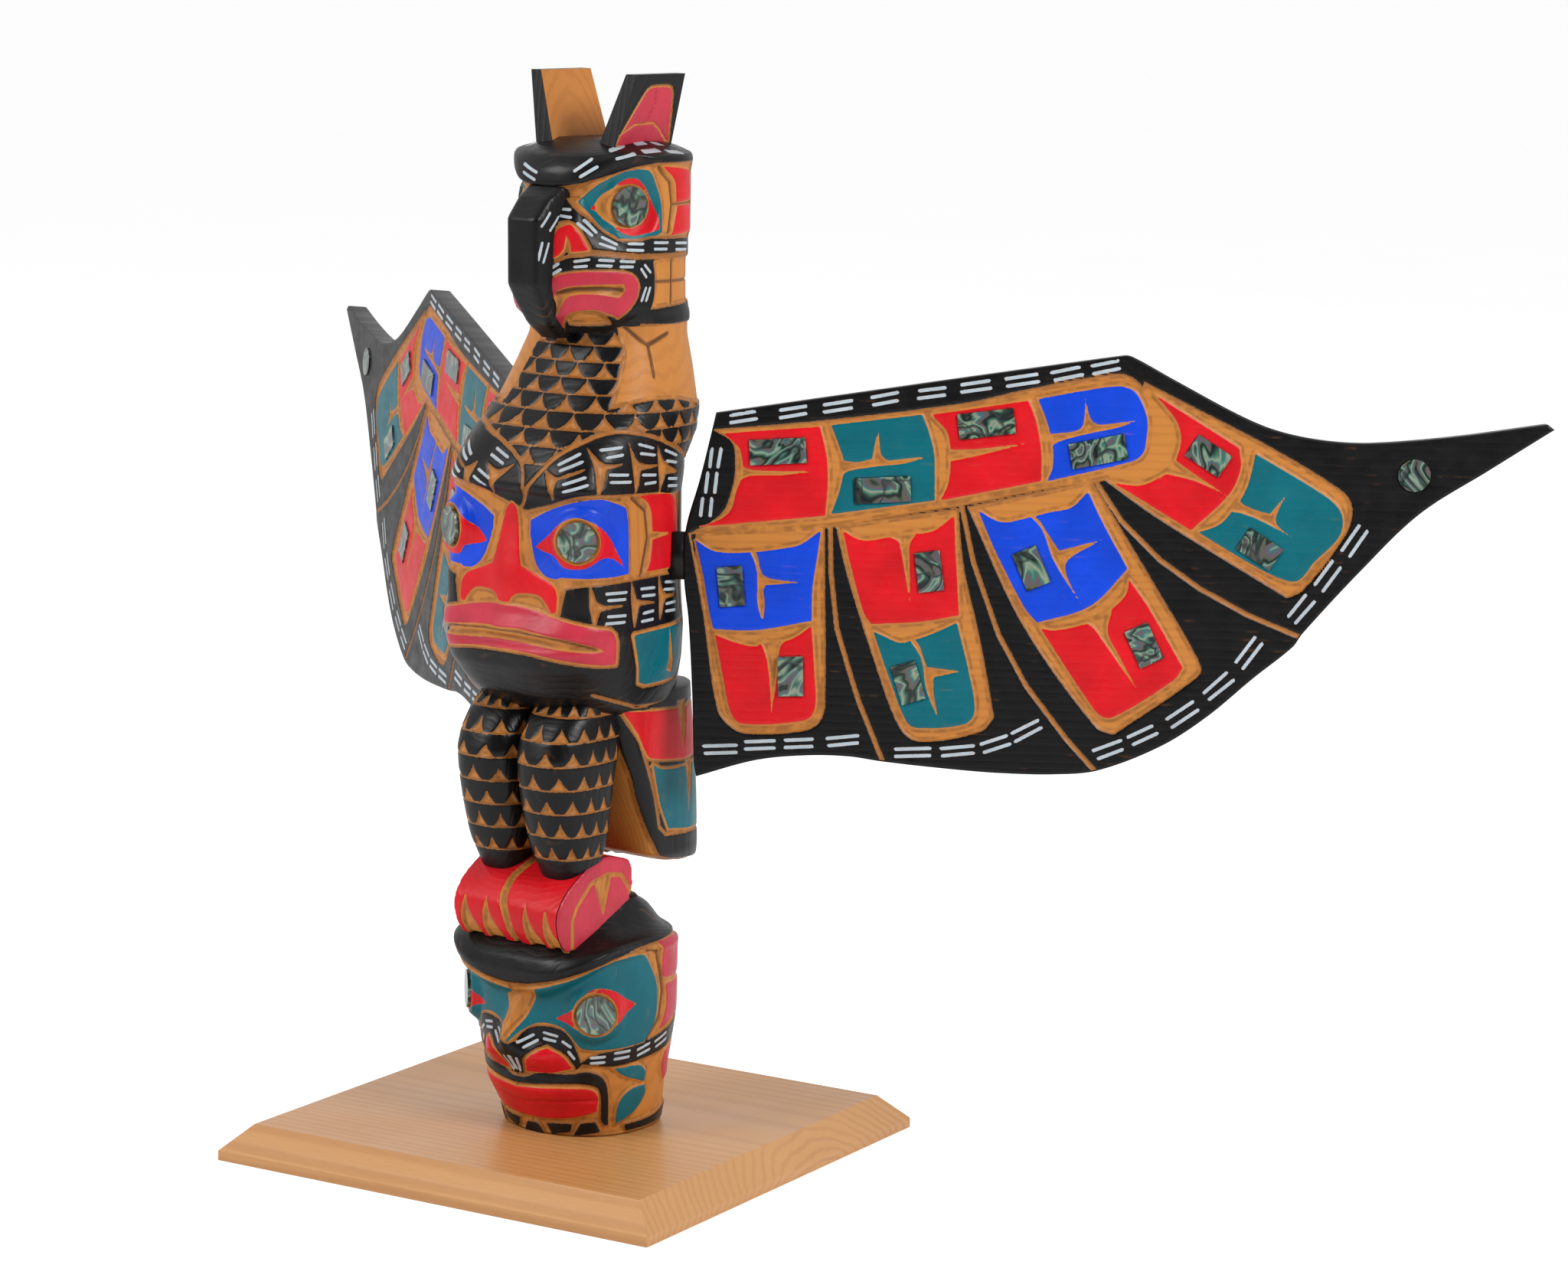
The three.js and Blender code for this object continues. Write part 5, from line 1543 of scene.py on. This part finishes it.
class TOTEM_OT_wings(bpy.types.Operator):
    """Carve and paint both wings"""
    bl_idname = "totem.wings"
    bl_label = "Wings"

    def execute(self, context):
        material = painted_material("Painted cedar wing", shared_group("Wood grain", wood_grain_group),
                                    shared_group("Carved paint", carved_paint_group), context.scene.totem_colours,
                                    (0.04, 1.0, 1.0), 210.0, 0.16)
        for side, name in ((1, "right"), (-1, "left")):
            give_material(build_wing(side, name), material)
        return {"FINISHED"}


class TOTEM_OT_ears(bpy.types.Operator):
    """Carve and paint both ears"""
    bl_idname = "totem.ears"
    bl_label = "Ears"

    def execute(self, context):
        for side, name in ((1, "right"), (-1, "left")):
            give_material(build_ear(side, name), pole_material())
        return {"FINISHED"}


class TOTEM_OT_inlays(bpy.types.Operator):
    """Finish the shell discs and tiles"""
    bl_idname = "totem.inlays"
    bl_label = "Shell inlays"

    def execute(self, context):
        shell = shared_group("Sea shell", shell_group)
        kinds = [shell_material(shell, f"Sea shell {k + 1}", 15.0 + 2.0 * k, (0.31 * k, 0.17 * k, 0.23 * k))
                 for k in range(3)]
        inlays = sorted(name for name in frame["nodes"] if "disc" in name or "tile" in name)
        if not inlays:
            raise RuntimeError("no shell inlays in the frame")
        for index, name in enumerate(inlays):
            inlay = bpy.data.objects[name]
            give_material(inlay, kinds[index % 3])
            edge = inlay.modifiers.new("Polished edge", "BEVEL")
            edge.width = context.scene.totem_sizes.shell_edge
            edge.segments = 2
        return {"FINISHED"}


def soft_light(name, place, aim, width, power):
    data = bpy.data.lights.new(name, "AREA")
    data.shape = "RECTANGLE"
    data.size = width
    data.size_y = width
    data.energy = power
    lamp = bpy.data.objects.new(name, data)
    lamp.location = place
    lamp.rotation_euler = (Vector(aim) - Vector(place)).to_track_quat("-Z", "Y").to_euler()
    bpy.context.scene.collection.objects.link(lamp)
    return lamp


class TOTEM_OT_stage(bpy.types.Operator):
    """Set the pale floor, the soft lights and the camera"""
    bl_idname = "totem.stage"
    bl_label = "Stage"

    def execute(self, context):
        scene = context.scene
        sizes = scene.totem_sizes
        half = sizes.floor_size / 2
        mesh = bpy.data.meshes.new("floor")
        mesh.from_pydata([(-half, -half, 0), (half, -half, 0), (half, half, 0), (-half, half, 0)], [], [(0, 1, 2, 3)])
        floor = bpy.data.objects.new("floor", mesh)
        floor.location.z = -0.0002
        scene.collection.objects.link(floor)
        material, n = new_material("Pale floor")
        place = n.add("ShaderNodeTexCoord").outputs["Object"]
        tone = n.mix(n.noise(place, 3.0, 2.0), (0.90, 0.90, 0.90, 1), (0.93, 0.93, 0.93, 1))
        rough = n.spread(n.noise(place, 40.0, 2.0), 0.3, 0.7, 0.75, 0.85)
        finish_with(material, n, tone, rough, n.noise(place, 900.0, 2.0), 0.02, 0.0002)
        # White paper that looks evenly lit to the camera
        shader = next(node for node in material.node_tree.nodes if node.type == "BSDF_PRINCIPLED")
        seen = n.maths("MULTIPLY", n.add("ShaderNodeLightPath").outputs["Is Camera Ray"], 0.42)
        shader.inputs["Emission Color"].default_value = (1.0, 1.0, 1.0, 1)
        n.join(seen, shader.inputs["Emission Strength"])
        mesh.materials.append(material)
        world = bpy.data.worlds.new("soft room")
        world.use_nodes = True
        # White paper all round, and an unlit room on the open side
        w = Nodes(world.node_tree)
        direction = w.add("ShaderNodeTexCoord").outputs["Generated"]
        open_side = w.add("ShaderNodeVectorMath", operation="DOT_PRODUCT")
        w.join(direction, open_side.inputs[0])
        open_side.inputs[1].default_value = (0.50, -0.85, 0.16)
        strength = w.spread(open_side.outputs["Value"], 0.25, 0.85, 0.75, 0.05)
        seen = w.add("ShaderNodeLightPath").outputs["Is Camera Ray"]
        shown = w.maths("MAXIMUM", strength, seen)
        background = world.node_tree.nodes["Background"]
        background.inputs[0].default_value = (1.0, 1.0, 1.0, 1)
        w.join(shown, background.inputs[1])
        scene.world = world
        soft_light("key softbox", (2.3, -0.5, 1.7), (0.05, 0, 0.33), 1.0, sizes.key_power)
        soft_light("fill softbox", (-1.1, -1.9, 1.7), (0.05, 0, 0.33), 1.2, sizes.fill_power)
        camera_data = bpy.data.cameras.new("camera")
        camera_data.sensor_width = 36.0
        camera_data.sensor_fit = "HORIZONTAL"
        camera_data.lens = 102.60
        camera = bpy.data.objects.new("camera", camera_data)
        right = Vector((0.85877102, 0.51186324, 0.02254697))
        up = Vector((-0.10380182, 0.13072116, 0.98597016))
        back = Vector((0.50173451, -0.84906302, 0.16539187))
        matrix = Matrix((right, up, back)).transposed().to_4x4()
        matrix.translation = Vector((1.36125, -2.07616, 0.71473))
        camera.matrix_world = matrix
        scene.collection.objects.link(camera)
        scene.camera = camera
        scene.view_settings.view_transform = "Standard"
        return {"FINISHED"}


class TOTEM_PT_panel(bpy.types.Panel):
    bl_idname = "TOTEM_PT_panel"
    bl_label = "Carved totem pole"
    bl_space_type = "VIEW_3D"
    bl_region_type = "UI"
    bl_category = "Totem"

    def draw(self, context):
        layout = self.layout
        for operator in OPERATORS:
            layout.operator(operator.bl_idname)
        for group in (context.scene.totem_colours, context.scene.totem_sizes):
            box = layout.box()
            for name in group.__annotations__:
                box.prop(group, name)


OPERATORS = (TOTEM_OT_board, TOTEM_OT_pole, TOTEM_OT_wings, TOTEM_OT_ears, TOTEM_OT_inlays, TOTEM_OT_stage)
CLASSES = (TotemColours, TotemSizes) + OPERATORS + (TOTEM_PT_panel,)


def register():
    for item in CLASSES:
        bpy.utils.register_class(item)
    bpy.types.Scene.totem_colours = PointerProperty(type=TotemColours)
    bpy.types.Scene.totem_sizes = PointerProperty(type=TotemSizes)


def unregister():
    del bpy.types.Scene.totem_sizes
    del bpy.types.Scene.totem_colours
    for item in reversed(CLASSES):
        bpy.utils.unregister_class(item)


def main():
    register()
    bpy.ops.totem.board()
    bpy.ops.totem.pole()
    bpy.ops.totem.wings()
    bpy.ops.totem.ears()
    bpy.ops.totem.inlays()
    bpy.ops.totem.stage()


if __name__ == "__main__":
    main()
